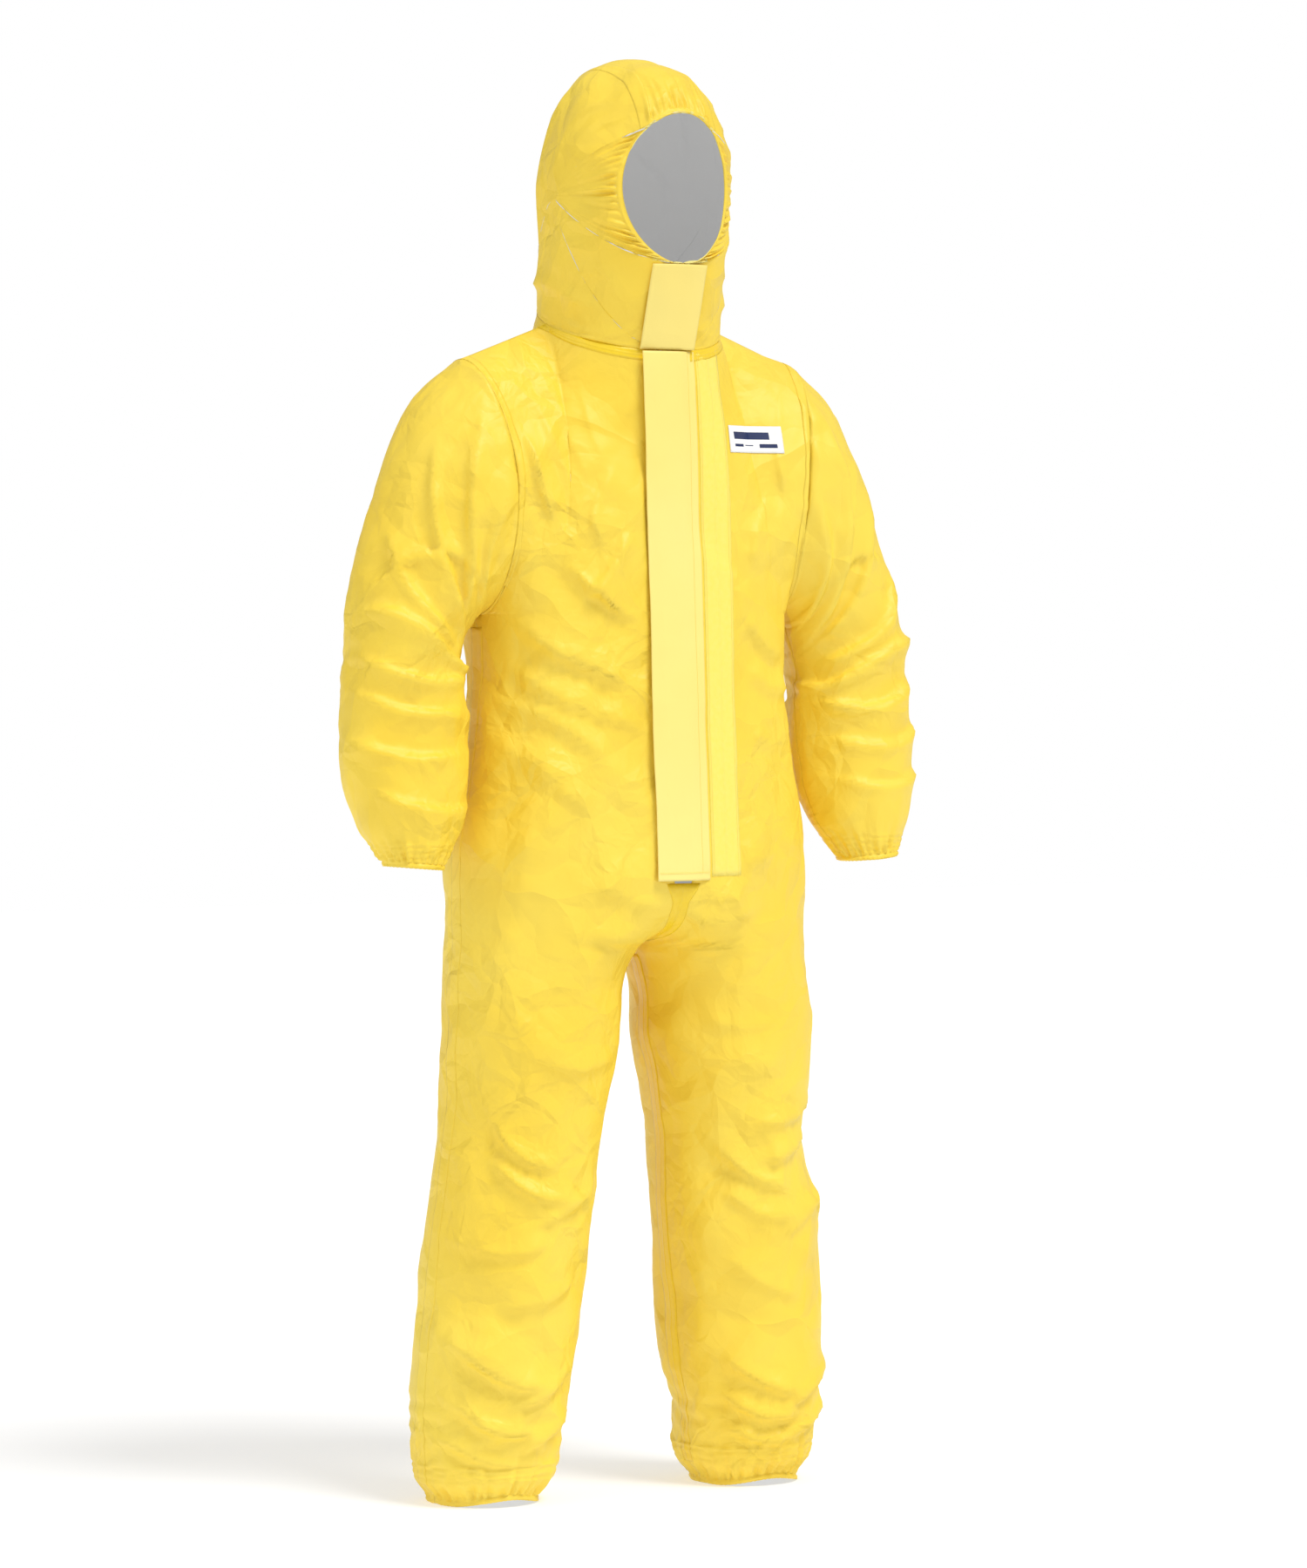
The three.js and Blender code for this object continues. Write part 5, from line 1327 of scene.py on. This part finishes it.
class SuitColours(bpy.types.PropertyGroup):
    """Colours a maker would change, in linear light."""
    laminate: FloatVectorProperty(name="Laminate", subtype="COLOR", size=4,
                                  default=linear("#F7DA4E"), description="Film side of the suit")
    laminate_deep: FloatVectorProperty(name="Laminate, deeper", subtype="COLOR", size=4,
                                       default=linear("#F4D038"),
                                       description="Where the film lies thicker")
    lining: FloatVectorProperty(name="Nonwoven side", subtype="COLOR", size=4,
                                default=linear("#C9C9C9"), description="Inside of the suit")
    tape: FloatVectorProperty(name="Seam tape", subtype="COLOR", size=4,
                              default=linear("#F2CC14"), description="Heat-sealed tape")
    elastic: FloatVectorProperty(name="Elastic", subtype="COLOR", size=4,
                                 default=linear("#F6E88C"), description="Covered elastic")
    ink: FloatVectorProperty(name="Label ink", subtype="COLOR", size=4,
                             default=linear("#1E2D5A"), description="Printing on the label")


def sizes():
    return bpy.context.scene.suit_sizes


def colours():
    return bpy.context.scene.suit_colours


MATERIALS = {}


def material(name):
    if not MATERIALS:
        c = colours()
        MATERIALS["laminate"] = laminated_nonwoven("film_laminated_nonwoven",
                                                   tuple(c.laminate), tuple(c.laminate_deep))
        # The flaps get a paler copy of the laminate, in the colour of its lit highlights: painted
        # light.
        MATERIALS["flap"] = laminated_nonwoven("doubled_film_laminated_nonwoven_painted_light",
                                               linear("#FBE887"), linear("#F9E279"), 0.12)
        MATERIALS["band"] = heat_sealed_tape("wide_heat_sealed_polyethylene_tape",
                                             linear("#FBE45A"), linear("#FCE976"))
        MATERIALS["lining"] = spunbond("spunbonded_polyethylene_painted_glow", tuple(c.lining))
        MATERIALS["tape"] = heat_sealed_tape("heat_sealed_polyethylene_tape", tuple(c.tape),
                                             linear("#F6D633"))
        MATERIALS["elastic"] = covered_elastic("covered_rubber_elastic", tuple(c.elastic))
        MATERIALS["thread"] = moulded("polyester_thread", linear("#F8E27A"), 0.6, 900.0)
        MATERIALS["zip"] = moulded("acetal_zip", linear("#E9C62C"), 0.35, 300.0)
        MATERIALS["zip_tape"] = covered_elastic("woven_polyester_zip_tape", linear("#EFCF3A"))
        MATERIALS["adhesive"] = moulded("pressure_sensitive_adhesive", linear("#F0EEDF"), 0.25,
                                        120.0)
        MATERIALS["liner"] = moulded("silicone_coated_release_paper", linear("#F4F3EC"), 0.5,
                                     700.0)
        MATERIALS["label"] = printed_label("printed_polypropylene_label", linear("#F7F7F5"),
                                           tuple(c.ink))
    return MATERIALS[name]


def cloth_sheet(name, node, body, lining="lining",
                outer="laminate", wall=None, grid=None, closed=False, flip=False):
    """A sheet of cloth on its body, in place of its node."""
    piece = sheet_of(name, grid, closed, flip, material(outer),
                     material(lining) if lining else None,
                     (wall if wall is not None else sizes().cloth_wall) / MM)
    if body:
        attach(piece, body)
    if node:
        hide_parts(*([node] if isinstance(node, str) else node))
    return piece


# ------------------------------------------------------------------ the operators
# Strength of the light from all round, and the two suns.
AMBIENT = 0.46
# [name, turn and rise in degrees, softness in degrees, energy]
LAMPS = (("key", 20, 57, 22, 2.05), ("fill", -85, 34, 50, 0.55))
# Focal length in mm, then the camera's place and aim in metres.
LENS = 137.1
CAMERA_FAR = 7.5
CAMERA_HEIGHT = 1.1
AIM_ASIDE = 0.035
AIM_HEIGHT = 0.892
FLOOR_HALF = 14.0
FLOOR_TOP = -0.0006


class SUIT_OT_stage(bpy.types.Operator):
    """Camera, floor and studio light"""
    bl_idname = "suit.stage"
    bl_label = "Stage"

    def execute(self, context):
        scene = context.scene
        lens = bpy.data.cameras.new("studio_camera")
        lens.sensor_fit = "VERTICAL"
        lens.sensor_height = 36
        lens.lens = LENS
        camera = bpy.data.objects.new("studio_camera", lens)
        scene.collection.objects.link(camera)
        scene.camera = camera
        turn = math.radians(-30)
        right = Vector((math.cos(turn), math.sin(turn), 0))
        aim = right * AIM_ASIDE + Vector((0, 0, AIM_HEIGHT))
        place = Vector((math.sin(turn), -math.cos(turn), 0)) * CAMERA_FAR + right * AIM_ASIDE
        place.z = CAMERA_HEIGHT
        camera.location = place
        camera.rotation_euler = (aim - place).to_track_quat("-Z", "Y").to_euler()
        mesh = bpy.data.meshes.new("studio_floor")
        corners = [(x * FLOOR_HALF, y * FLOOR_HALF, FLOOR_TOP)
                   for x, y in ((-1, -1), (1, -1), (1, 1), (-1, 1))]
        mesh.from_pydata(corners, [], [(0, 1, 2, 3)])
        floor = bpy.data.objects.new("studio_floor", mesh)
        scene.collection.objects.link(floor)
        paint, _, shader = finish("matt_white_floor", linear("#CFCFCF"), 0.8)
        shader.inputs["Emission Color"].default_value = (1, 1, 1, 1)
        shader.inputs["Emission Strength"].default_value = 0.46
        mesh.materials.append(paint)
        scene.view_settings.view_transform = "Standard"
        world = bpy.data.worlds.new("studio")
        scene.world = world
        world.use_nodes = True
        tree = world.node_tree
        sky = tree.nodes["Background"]
        sky.inputs["Color"].default_value = (1, 1, 1, 1)
        sky.inputs["Strength"].default_value = AMBIENT
        backdrop = add(tree, "ShaderNodeBackground", {"Color": (1, 1, 1, 1), "Strength": 1.0})
        seen = add(tree, "ShaderNodeLightPath").outputs["Is Camera Ray"]
        both = add(tree, "ShaderNodeMixShader", {}, {0: seen, 1: sky.outputs[0],
                   2: backdrop.outputs[0]})
        tree.links.new(both.outputs[0], tree.nodes["World Output"].inputs["Surface"])
        for name, turn, rise, soft, energy in LAMPS:
            lamp = bpy.data.lights.new(name, "SUN")
            lamp.angle = math.radians(soft)
            lamp.energy = energy
            light = bpy.data.objects.new(name, lamp)
            turn, rise = math.radians(turn), math.radians(rise)
            spot = Vector((math.sin(turn) * math.cos(rise), -math.cos(turn) * math.cos(rise),
                           math.sin(rise)))
            light.rotation_euler = (-spot).to_track_quat("-Z", "Y").to_euler()
            scene.collection.objects.link(light)
        return {"FINISHED"}


class SUIT_OT_drape(bpy.types.Operator):
    """Sews the panels together and drapes them"""
    bl_idname = "suit.drape"
    bl_label = "Sew and drape"

    def execute(self, context):
        rounds = sizes().drape_rounds
        build_garment(rounds, sizes().slack, 7)
        if len(Garment.grids) != 9:
            raise RuntimeError("the garment is missing a panel")
        return {"FINISHED"}


class SUIT_OT_trunk(bpy.types.Operator):
    """Front and back panels of the trunk and legs"""
    bl_idname = "suit.trunk"
    bl_label = "Trunk and legs"

    def execute(self, context):
        for part in ("front", "back"):
            for side in ("left", "right"):
                node = f"{part}_panel_{side}"
                grid = Garment.grids[node]
                cloth_sheet(f"{part}_cloth_{side}", node, "suit",
                            grid=grid, flip=Garment.flip[node])
        return {"FINISHED"}


class SUIT_OT_sleeves(bpy.types.Operator):
    """Sleeves"""
    bl_idname = "suit.sleeves"
    bl_label = "Sleeves"

    def execute(self, context):
        for side, sign in (("left", 1), ("right", -1)):
            node = f"sleeve_{side}"
            grid = Garment.grids[node]
            piece = cloth_sheet(f"sleeve_cloth_{side}", node, None,
                                grid=grid, closed=True, flip=Garment.flip[node])
            bend_sleeve(piece)
        return {"FINISHED"}


def bend_sleeve(piece):
    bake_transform(piece)


def bend_hood(piece):
    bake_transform(piece)


class SUIT_OT_hood(bpy.types.Operator):
    """Hood panels"""
    bl_idname = "suit.hood"
    bl_label = "Hood"

    def execute(self, context):
        for side in ("left", "right"):
            node = f"hood_side_{side}"
            grid = Garment.grids[node]
            rows, columns = grid.shape[:2]
            pole = grid[-1].mean(0)
            faces = grid_faces(rows, columns, True, Garment.flip[node])
            last = (rows - 1) * columns
            for c in range(columns):
                tri = (last + c, last + (c + 1) % columns, rows * columns)
                faces.append(tri[::-1] if Garment.flip[node] else tri)
            points = np.concatenate([grid.reshape(-1, 3), [pole]])
            uv = points[:, [1, 2]]
            piece = mesh_object(f"hood_cloth_{side}", points, faces, uv, material("laminate"),
                                material("lining"), sizes().cloth_wall / MM)
            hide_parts(node)
            bend_hood(piece)
        node = "hood_center_panel"
        grid = Garment.grids[node]
        piece = cloth_sheet("hood_cloth_centre", node, None, grid=grid,
                            flip=Garment.flip[node])
        bend_hood(piece)
        return {"FINISHED"}


def edge_pairs(name_a, columns_a, name_b=None, columns_b=None, rows=None):
    """Lines and normals leading away from a seam, row by row."""
    ga, na = Garment.grids[name_a], Garment.normals[name_a]
    pairs = []
    for r in rows:
        a = (ga[r, columns_a], na[r, columns_a])
        b = None
        if name_b:
            gb, nb = Garment.grids[name_b], Garment.normals[name_b]
            b = (gb[r, columns_b], nb[r, columns_b])
        pairs.append((a, b))
    return pairs


# Heights of the tapes over the cloth, the quiet ones in the colour of the suit, and
# how far a tape reaches to either side of its seam, in mm.
TAPE_LIFT = 0.35
QUIET_LIFT = 0.2
REACH = 12
NARROW_REACH = 10
NECK_REACH = 14
# Thickness of the doubled cloth of both flaps, in metres.
FLAP_WALL = 0.0011


def tape(name, node, grid, flip=False, bend=None, outer="laminate"):
    """A heat-sealed tape on the suit; where bend is given, it is handed to bend instead."""
    piece = cloth_sheet(name, node, None if bend else "suit",
                        lining=None, outer=outer,
                        wall=sizes().tape_wall * (0.5 if outer == "laminate" else 1), grid=grid,
                        flip=flip)
    if bend:
        bend(piece)
    return piece


class SUIT_OT_tapes(bpy.types.Operator):
    """Heat-sealed tapes over the seams"""
    bl_idname = "suit.tapes"
    bl_label = "Seam tapes"

    def execute(self, context):
        inward = slice(None, None, -1)
        outward = slice(None)
        under = 2 * (LOWER_ROWS - 1)
        crotch = 2 * CROTCH_ROW
        for side in ("left", "right"):
            right = side == "right"
            front, back = f"front_panel_{side}", f"back_panel_{side}"
            rows = range(14, under - 1)
            grid = one_tape(edge_pairs(front, inward, back, inward, rows), REACH, QUIET_LIFT,
                            True)
            tape(f"side_tape_{side}", f"side_seam_tape_{side}", grid, flip=right)
            rows = range(14, crotch - 1)
            grid = one_tape(edge_pairs(back, outward, front, outward, rows), REACH, TAPE_LIFT,
                            True)
            tape(f"inseam_tape_cloth_{side}", f"inseam_tape_{side}", grid, flip=right,
                 outer="tape")
            rows = range(under + 2, Garment.grids[front].shape[0])
            lines = (edge_pairs(front, inward, rows=rows)
                     + edge_pairs(back, inward, rows=rows)[::-1])
            grid = one_tape(lines, REACH, QUIET_LIFT, False)
            tape(f"armhole_tape_cloth_{side}", f"armhole_tape_{side}", grid, flip=not right)
            self.sleeve_tape(side, right)
            self.hood_tape(side, right)
        rise = Garment.grids["front_panel_left"][:, 0, 2]
        rows = [r for r in range(crotch + 1, crotch + 22) if rise[r] < ZIP_BOTTOM - 10]
        self.middle_tape("crotch_tape", "crotch_seam_tape", "front", rows, False)
        rows = range(crotch + 1, Garment.grids["back_panel_left"].shape[0] - 4)
        self.middle_tape("back_tape", "back_seam_tape", "back", rows, True)
        self.neck_tape()
        return {"FINISHED"}

    @staticmethod
    def middle_tape(name, node, part, rows, flip):
        a, b = f"{part}_panel_right", f"{part}_panel_left"
        pairs = edge_pairs(a, slice(None), b, slice(None), rows)
        grid = one_tape(pairs, REACH, TAPE_LIFT, True)
        tape(name, node, grid, flip=flip, outer="tape")

    @staticmethod
    def sleeve_tape(side, right):
        grid, normals = Garment.grids[f"sleeve_{side}"], Garment.normals[f"sleeve_{side}"]
        middle = SLEEVE_COLUMNS
        before = [(middle - k) % (2 * SLEEVE_COLUMNS) for k in range(0, 12)]
        after = [(middle + k) % (2 * SLEEVE_COLUMNS) for k in range(0, 12)]
        pairs = [((grid[r][before], normals[r][before]), (grid[r][after], normals[r][after]))
                 for r in range(6, grid.shape[0] - 8)]
        strip = one_tape(pairs, NARROW_REACH, QUIET_LIFT, True)
        tape(f"sleeve_tape_cloth_{side}", f"sleeve_seam_tape_{side}", strip, flip=not right,
             bend=lambda piece: bend_sleeve(piece))

    @staticmethod
    def hood_tape(side, right):
        grid, normals = Garment.grids[f"hood_side_{side}"], Garment.normals[f"hood_side_{side}"]
        crown, crown_n = (Garment.grids["hood_center_panel"],
                          Garment.normals["hood_center_panel"])
        start = 2 * (HOOD_NECK - 1)
        count = crown.shape[0]
        pairs = []
        for i in range(10, count - 8):
            k = start + (count - 1 - i)
            side_line = (grid[:12, k], normals[:12, k])
            row, row_n = crown[i], crown_n[i]
            if not right:
                row, row_n = row[::-1], row_n[::-1]
            pairs.append((side_line, (row, row_n)))
        strip = one_tape(pairs, NARROW_REACH, QUIET_LIFT, True)
        tape(f"hood_tape_{side}", f"hood_seam_tape_{side}", strip, flip=not right,
             bend=bend_hood)

    @staticmethod
    def neck_tape():
        corner = 2 * (NECK_COLUMNS - 1)
        pairs = []
        for side, face, order in (("left", "front", 1), ("left", "back", -1),
                                  ("right", "back", 1), ("right", "front", -1)):
            grid = Garment.grids[f"{face}_panel_{side}"]
            normals = Garment.normals[f"{face}_panel_{side}"]
            for c in list(range(corner + 1))[::order]:
                line = grid[::-1][:14, c], normals[::-1][:14, c]
                pairs.append((line, None))
            if order == 1:
                shoulder = grid[-1, corner:], normals[-1, corner:]
                pairs.append((shoulder, None))
        strip = one_tape(pairs, NECK_REACH, TAPE_LIFT, False)
        tape("neck_tape", "neck_seam_tape", strip, flip=True, outer="tape")


class SUIT_OT_elastics(bpy.types.Operator):
    """Elastics inside the hems, the face opening and the back of the waist"""
    bl_idname = "suit.elastics"
    bl_label = "Elastics"

    def execute(self, context):
        depth = -1.6
        for side in ("left", "right"):
            right = side == "right"
            grids = [Garment.grids[f"{p}_panel_{side}"][:6] for p in ("front", "back")]
            norms = [Garment.normals[f"{p}_panel_{side}"][:6] for p in ("front", "back")]
            loop = np.concatenate([grids[0], grids[1][:, ::-1][:, 1:-1]], 1)
            way = np.concatenate([norms[0], norms[1][:, ::-1][:, 1:-1]], 1)
            self.band(f"ankle_band_{side}", f"ankle_elastic_{side}", loop + way * depth, "suit",
                      right, True)
            grid, way = Garment.grids[f"sleeve_{side}"], Garment.normals[f"sleeve_{side}"]
            self.band(f"wrist_band_{side}", f"wrist_elastic_{side}",
                      grid[-6:] + way[-6:] * depth, f"sleeve_{side}", not right, True)
        grid, way = self.face_rows()
        self.band("face_band", "face_elastic", grid + way * -1.3, "hood", False, False)
        rows = [r for r, z in enumerate(Garment.base["back_panel_left"][:, 5, 2])
                if abs(z - WAIST) < 13]
        parts = []
        for side in ("left", "right"):
            g = Garment.grids[f"back_panel_{side}"][rows] - \
                Garment.normals[f"back_panel_{side}"][rows] * 2.2
            parts.append(g[:, :-4])
        strip = np.concatenate([parts[1][:, ::-1], parts[0][:, 1:]], 1)
        self.band("waist_band", "waist_elastic", strip, "suit", True, False)
        return {"FINISHED"}

    @staticmethod
    def face_rows():
        start = 2 * (HOOD_NECK + CROWN_ROWS - 2)
        steps = 2 * (FACE_STEPS - 1)
        out, ways = [], []
        crown = Garment.grids["hood_center_panel"], Garment.normals["hood_center_panel"]
        for r in range(0, 7):
            line, way = [], []
            for side in ("left", "right"):
                g = Garment.grids[f"hood_side_{side}"][r, start:start + steps + 1]
                n = Garment.normals[f"hood_side_{side}"][r, start:start + steps + 1]
                if side == "left":
                    line += [g[::-1], crown[0][r][::-1][1:-1]]
                    way += [n[::-1], crown[1][r][::-1][1:-1]]
                else:
                    line.append(g)
                    way.append(n)
            out.append(np.concatenate(line))
            ways.append(np.concatenate(way))
        return np.array(out), np.array(ways)

    @staticmethod
    def band(name, node, grid, body, flip, closed):
        piece = cloth_sheet(name, node, body,
                            lining=None, outer="elastic", wall=0.001, grid=grid, closed=closed,
                            flip=flip)
        return piece


def front_at(row_points, row_normals, x_values):
    """Points and normals on one row of a front panel at given x."""
    x = row_points[:, 0]
    order = np.argsort(x)
    p = np.stack([np.interp(x_values, x[order], row_points[order, k]) for k in range(3)], 1)
    n = np.stack([np.interp(x_values, x[order], row_normals[order, k]) for k in range(3)], 1)
    return p, n / np.linalg.norm(n, axis=1, keepdims=True)


def front_surface(x, z):
    """The left front panel's surface, for what is sewn to it."""
    grid = Garment.grids["front_panel_left"]
    rows = grid[2 * (ZIP_ROW - 2):]
    heights = rows[:, 8, 2]
    x = abs(x)
    y = np.array([np.interp(x, row[:, 0], row[:, 1]) for row in rows])
    return np.interp(z, heights, y)


class SUIT_OT_flap(bpy.types.Operator):
    """Storm flap with its stitched hems, wide tape, adhesive strip and release liner"""
    bl_idname = "suit.flap"
    bl_label = "Storm flap"

    def execute(self, context):
        lift = sizes().flap_lift / MM
        z = np.linspace(FLAP_Z[0], FLAP_Z[1], 200)
        x = np.linspace(FLAP_X[0], FLAP_X[1], 40)
        wave, ripple = Waves(91, 260), Waves(92, 46)
        rows = []
        for height in z:
            seat = front_surface(FLAP_X[1], height) - 0.9
            share = (x - FLAP_X[0]) / (FLAP_X[1] - FLAP_X[0])
            hump = front_line(height) - lift - 1.3
            y = mix(hump, seat, ease((share - 0.62) / 0.38))
            y = y + 1.9 * ease((0.24 - share) / 0.24)
            at = np.stack([x, np.zeros_like(x), np.full_like(x, height)], 1)
            y = y + (0.9 * wave(at) + 0.28 * ripple(at)) * ease((0.97 - share) / 0.2)
            edge = 1.1 * wave(np.array([[0.0, 40.0, height]]))[0] * (1 - share) ** 2
            rows.append(np.stack([x + edge, y, np.full_like(x, height)], 1))
        grid = np.array(rows)
        hem = np.minimum(np.abs(grid[:, :, 2] - grid[0, 0, 2]), 12)
        grid[:, :, 1] -= 0.45 * ease((6 - hem) / 1.5)
        cloth_sheet("storm_flap_cloth", "storm_flap", "storm_flap",
                    lining="laminate", outer="flap", wall=FLAP_WALL, grid=grid)
        for name, node, columns, depth, kind, slot in (
                ("adhesive_strip_tape", "adhesive_strip", slice(2, 9), 1.3, "adhesive",
                 "adhesive"),
                ("release_liner_strip", "release_liner", slice(2, 10), 1.75, "liner",
                 "liner_paper")):
            strip = grid[10:-6:3, columns].copy()
            strip[:, :, 1] += depth
            cloth_sheet(name, node, "storm_flap", lining=None,
                        outer=kind, wall=0.0003, grid=strip)
        self.band()
        lines = [grid[3, 2:-1] + (0, -0.75, 0), grid[3:, -7] + (0, -0.25, 0)]
        stitched("flap_stitches", lines, material("thread"), "storm_flap")
        return {"FINISHED"}

    @staticmethod
    def band():
        grid = Garment.grids["front_panel_left"]
        normals = Garment.normals["front_panel_left"]
        heights = grid[:, 10, 2]
        rows = [r for r in range(2 * (ZIP_ROW - 4), grid.shape[0] - 1)
                if heights[r] > FLAP_Z[0] + 2]
        x = np.linspace(BAND_X[0], BAND_X[1], 13)
        strip, edges = [], [[], []]
        for r in rows:
            p, n = front_at(grid[r], normals[r], x)
            share = (r - rows[0]) / (len(rows) - 1)
            strip.append(p + n * TAPE_LIFT)
            for k, column in enumerate((1, -2)):
                edges[k].append(p[column] + n[column] * (TAPE_LIFT + 0.25))
        strip = np.array(strip)
        tape("flap_band_tape", "flap_seam_tape", strip, outer="band")
        stitched("band_stitches", edges, material("thread"), "suit")


class SUIT_OT_chin(bpy.types.Operator):
    """Chin flap over the front of the hood"""
    bl_idname = "suit.chin"
    bl_label = "Chin flap"

    def execute(self, context):
        z = np.linspace(NECK_FRONT + 1.5, CHIN - 1, 36)
        x = np.linspace(-41, 36, 30)
        knots = np.array([[-41, -2.8], [-20, 2.8], [0, 4.4], [18, 3.2], [36, -1.8]])
        ahead = np.array([between(knots, v)[0] for v in x])
        rows = []
        ripple = Waves(95, 60)
        for height in z:
            line = mix(-110.0, -143.0, (height - NECK_FRONT) / (CHIN - NECK_FRONT))
            at = np.stack([x, np.zeros_like(x), np.full_like(x, height)], 1)
            y = line - ahead - 0.5 * ripple(at)
            rows.append(np.stack([x, y, np.full_like(x, height)], 1))
        grid = np.array(rows)
        cloth_sheet("chin_flap_cloth", "chin_flap", "chin_flap",
                    lining="laminate", outer="flap", wall=FLAP_WALL, grid=grid)
        return {"FINISHED"}


class SUIT_OT_label(bpy.types.Operator):
    """Label on the left breast, with plain printed bars"""
    bl_idname = "suit.label"
    bl_label = "Chest label"

    def execute(self, context):
        grid = Garment.grids["front_panel_left"]
        normals = Garment.normals["front_panel_left"]
        rows = []
        half_x, half_z = LABEL_HALF
        across, up = 25, 11
        columns = np.linspace(LABEL_AT[0] - half_x, LABEL_AT[0] + half_x, across)
        near = range(2 * LABEL_ROW, grid.shape[0] - 2)
        found = [front_at(grid[r], normals[r], columns) for r in near]
        points = np.array([p for p, _ in found])
        ways = np.array([n for _, n in found])
        for z in np.linspace(LABEL_AT[1] - half_z, LABEL_AT[1] + half_z, up):
            row = np.zeros((across, 3))
            for c in range(across):
                for k in range(3):
                    row[c, k] = np.interp(z, points[:, c, 2], points[:, c, k]
                                          + 0.9 * ways[:, c, k])
            row[:, 2] = z
            rows.append(row)
        strip = np.array(rows)
        piece = sheet_of("breast_label", strip, False, False, material("label"), None, 0.25)
        uv = np.stack(np.meshgrid(np.linspace(-half_x, half_x, across),
                                  np.linspace(-half_z, half_z, up)), -1)
        loops = np.zeros(len(piece.data.loops), int)
        piece.data.loops.foreach_get("vertex_index", loops)
        values = (uv.reshape(-1, 2)[loops] * MM).ravel().astype(np.float32)
        piece.data.uv_layers["cloth"].data.foreach_set("uv", values)
        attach(piece, "suit")
        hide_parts("chest_label")
        return {"FINISHED"}


class SUIT_OT_zip(bpy.types.Operator):
    """Zip teeth, and finishes for the zip's tapes, stops, slider and pull"""
    bl_idname = "suit.zip"
    bl_label = "Zip"

    def execute(self, context):
        kinds = {"zip_tape_left": "zip_tape", "zip_tape_right": "zip_tape",
                 "zip_top_stop_left": "zip", "zip_top_stop_right": "zip",
                 "zip_bottom_stop": "zip", "zip_slider": "zip", "zip_pull": "zip"}
        for name, kind in kinds.items():
            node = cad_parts[name]
            node.data.materials.clear()
            node.data.materials.append(material(kind))
        for side, sign in (("left", 1), ("right", -1)):
            low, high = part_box(f"zip_teeth_{side}")
            x = (low.x + high.x) / 2 / MM + sign * 0.2
            shift = 0.0 if sign > 0 else 1.25
            z = np.linspace(low.z / MM + shift + 1, high.z / MM - 1, 60)
            y = np.array([front_line(v) + 3.8 for v in z])
            line = np.stack([np.full_like(z, x), y, z], 1)
            mesh = bpy.data.meshes.new("teeth_line")
            mesh.from_pydata((line * MM).tolist(), [(i, i + 1) for i in range(59)], [])
            guide = bpy.data.objects.new("teeth_line", mesh)
            bpy.context.scene.collection.objects.link(guide)
            piece = from_nodes(f"zip_teeth_row_{side}", guide, teeth_tree(material("zip")), {},
                               "suit")
            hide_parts(f"zip_teeth_{side}")
        return {"FINISHED"}


class SUIT_PT_panel(bpy.types.Panel):
    """Lists the suit's builders"""
    bl_idname = "SUIT_PT_panel"
    bl_label = "Protective suit"
    bl_space_type = "VIEW_3D"
    bl_region_type = "UI"
    bl_category = "Suit"

    def draw(self, context):
        for group in (context.scene.suit_sizes, context.scene.suit_colours):
            for key in group.bl_rna.properties.keys():
                if key not in ("rna_type", "name"):
                    self.layout.prop(group, key)
        for operator in OPERATORS:
            self.layout.operator(operator.bl_idname)


OPERATORS = (SUIT_OT_stage, SUIT_OT_drape, SUIT_OT_trunk, SUIT_OT_sleeves, SUIT_OT_hood,
             SUIT_OT_tapes, SUIT_OT_elastics, SUIT_OT_flap, SUIT_OT_chin, SUIT_OT_label,
             SUIT_OT_zip)
CLASSES = (SuitSizes, SuitColours, *OPERATORS, SUIT_PT_panel)


def register():
    for item in CLASSES:
        bpy.utils.register_class(item)
    bpy.types.Scene.suit_sizes = PointerProperty(type=SuitSizes)
    bpy.types.Scene.suit_colours = PointerProperty(type=SuitColours)


def unregister():
    del bpy.types.Scene.suit_sizes
    del bpy.types.Scene.suit_colours
    for item in reversed(CLASSES):
        bpy.utils.unregister_class(item)


def main():
    register()
    for operator in OPERATORS:
        group, name = operator.bl_idname.split(".")
        getattr(getattr(bpy.ops, group), name)()


if __name__ == "__main__":
    main()
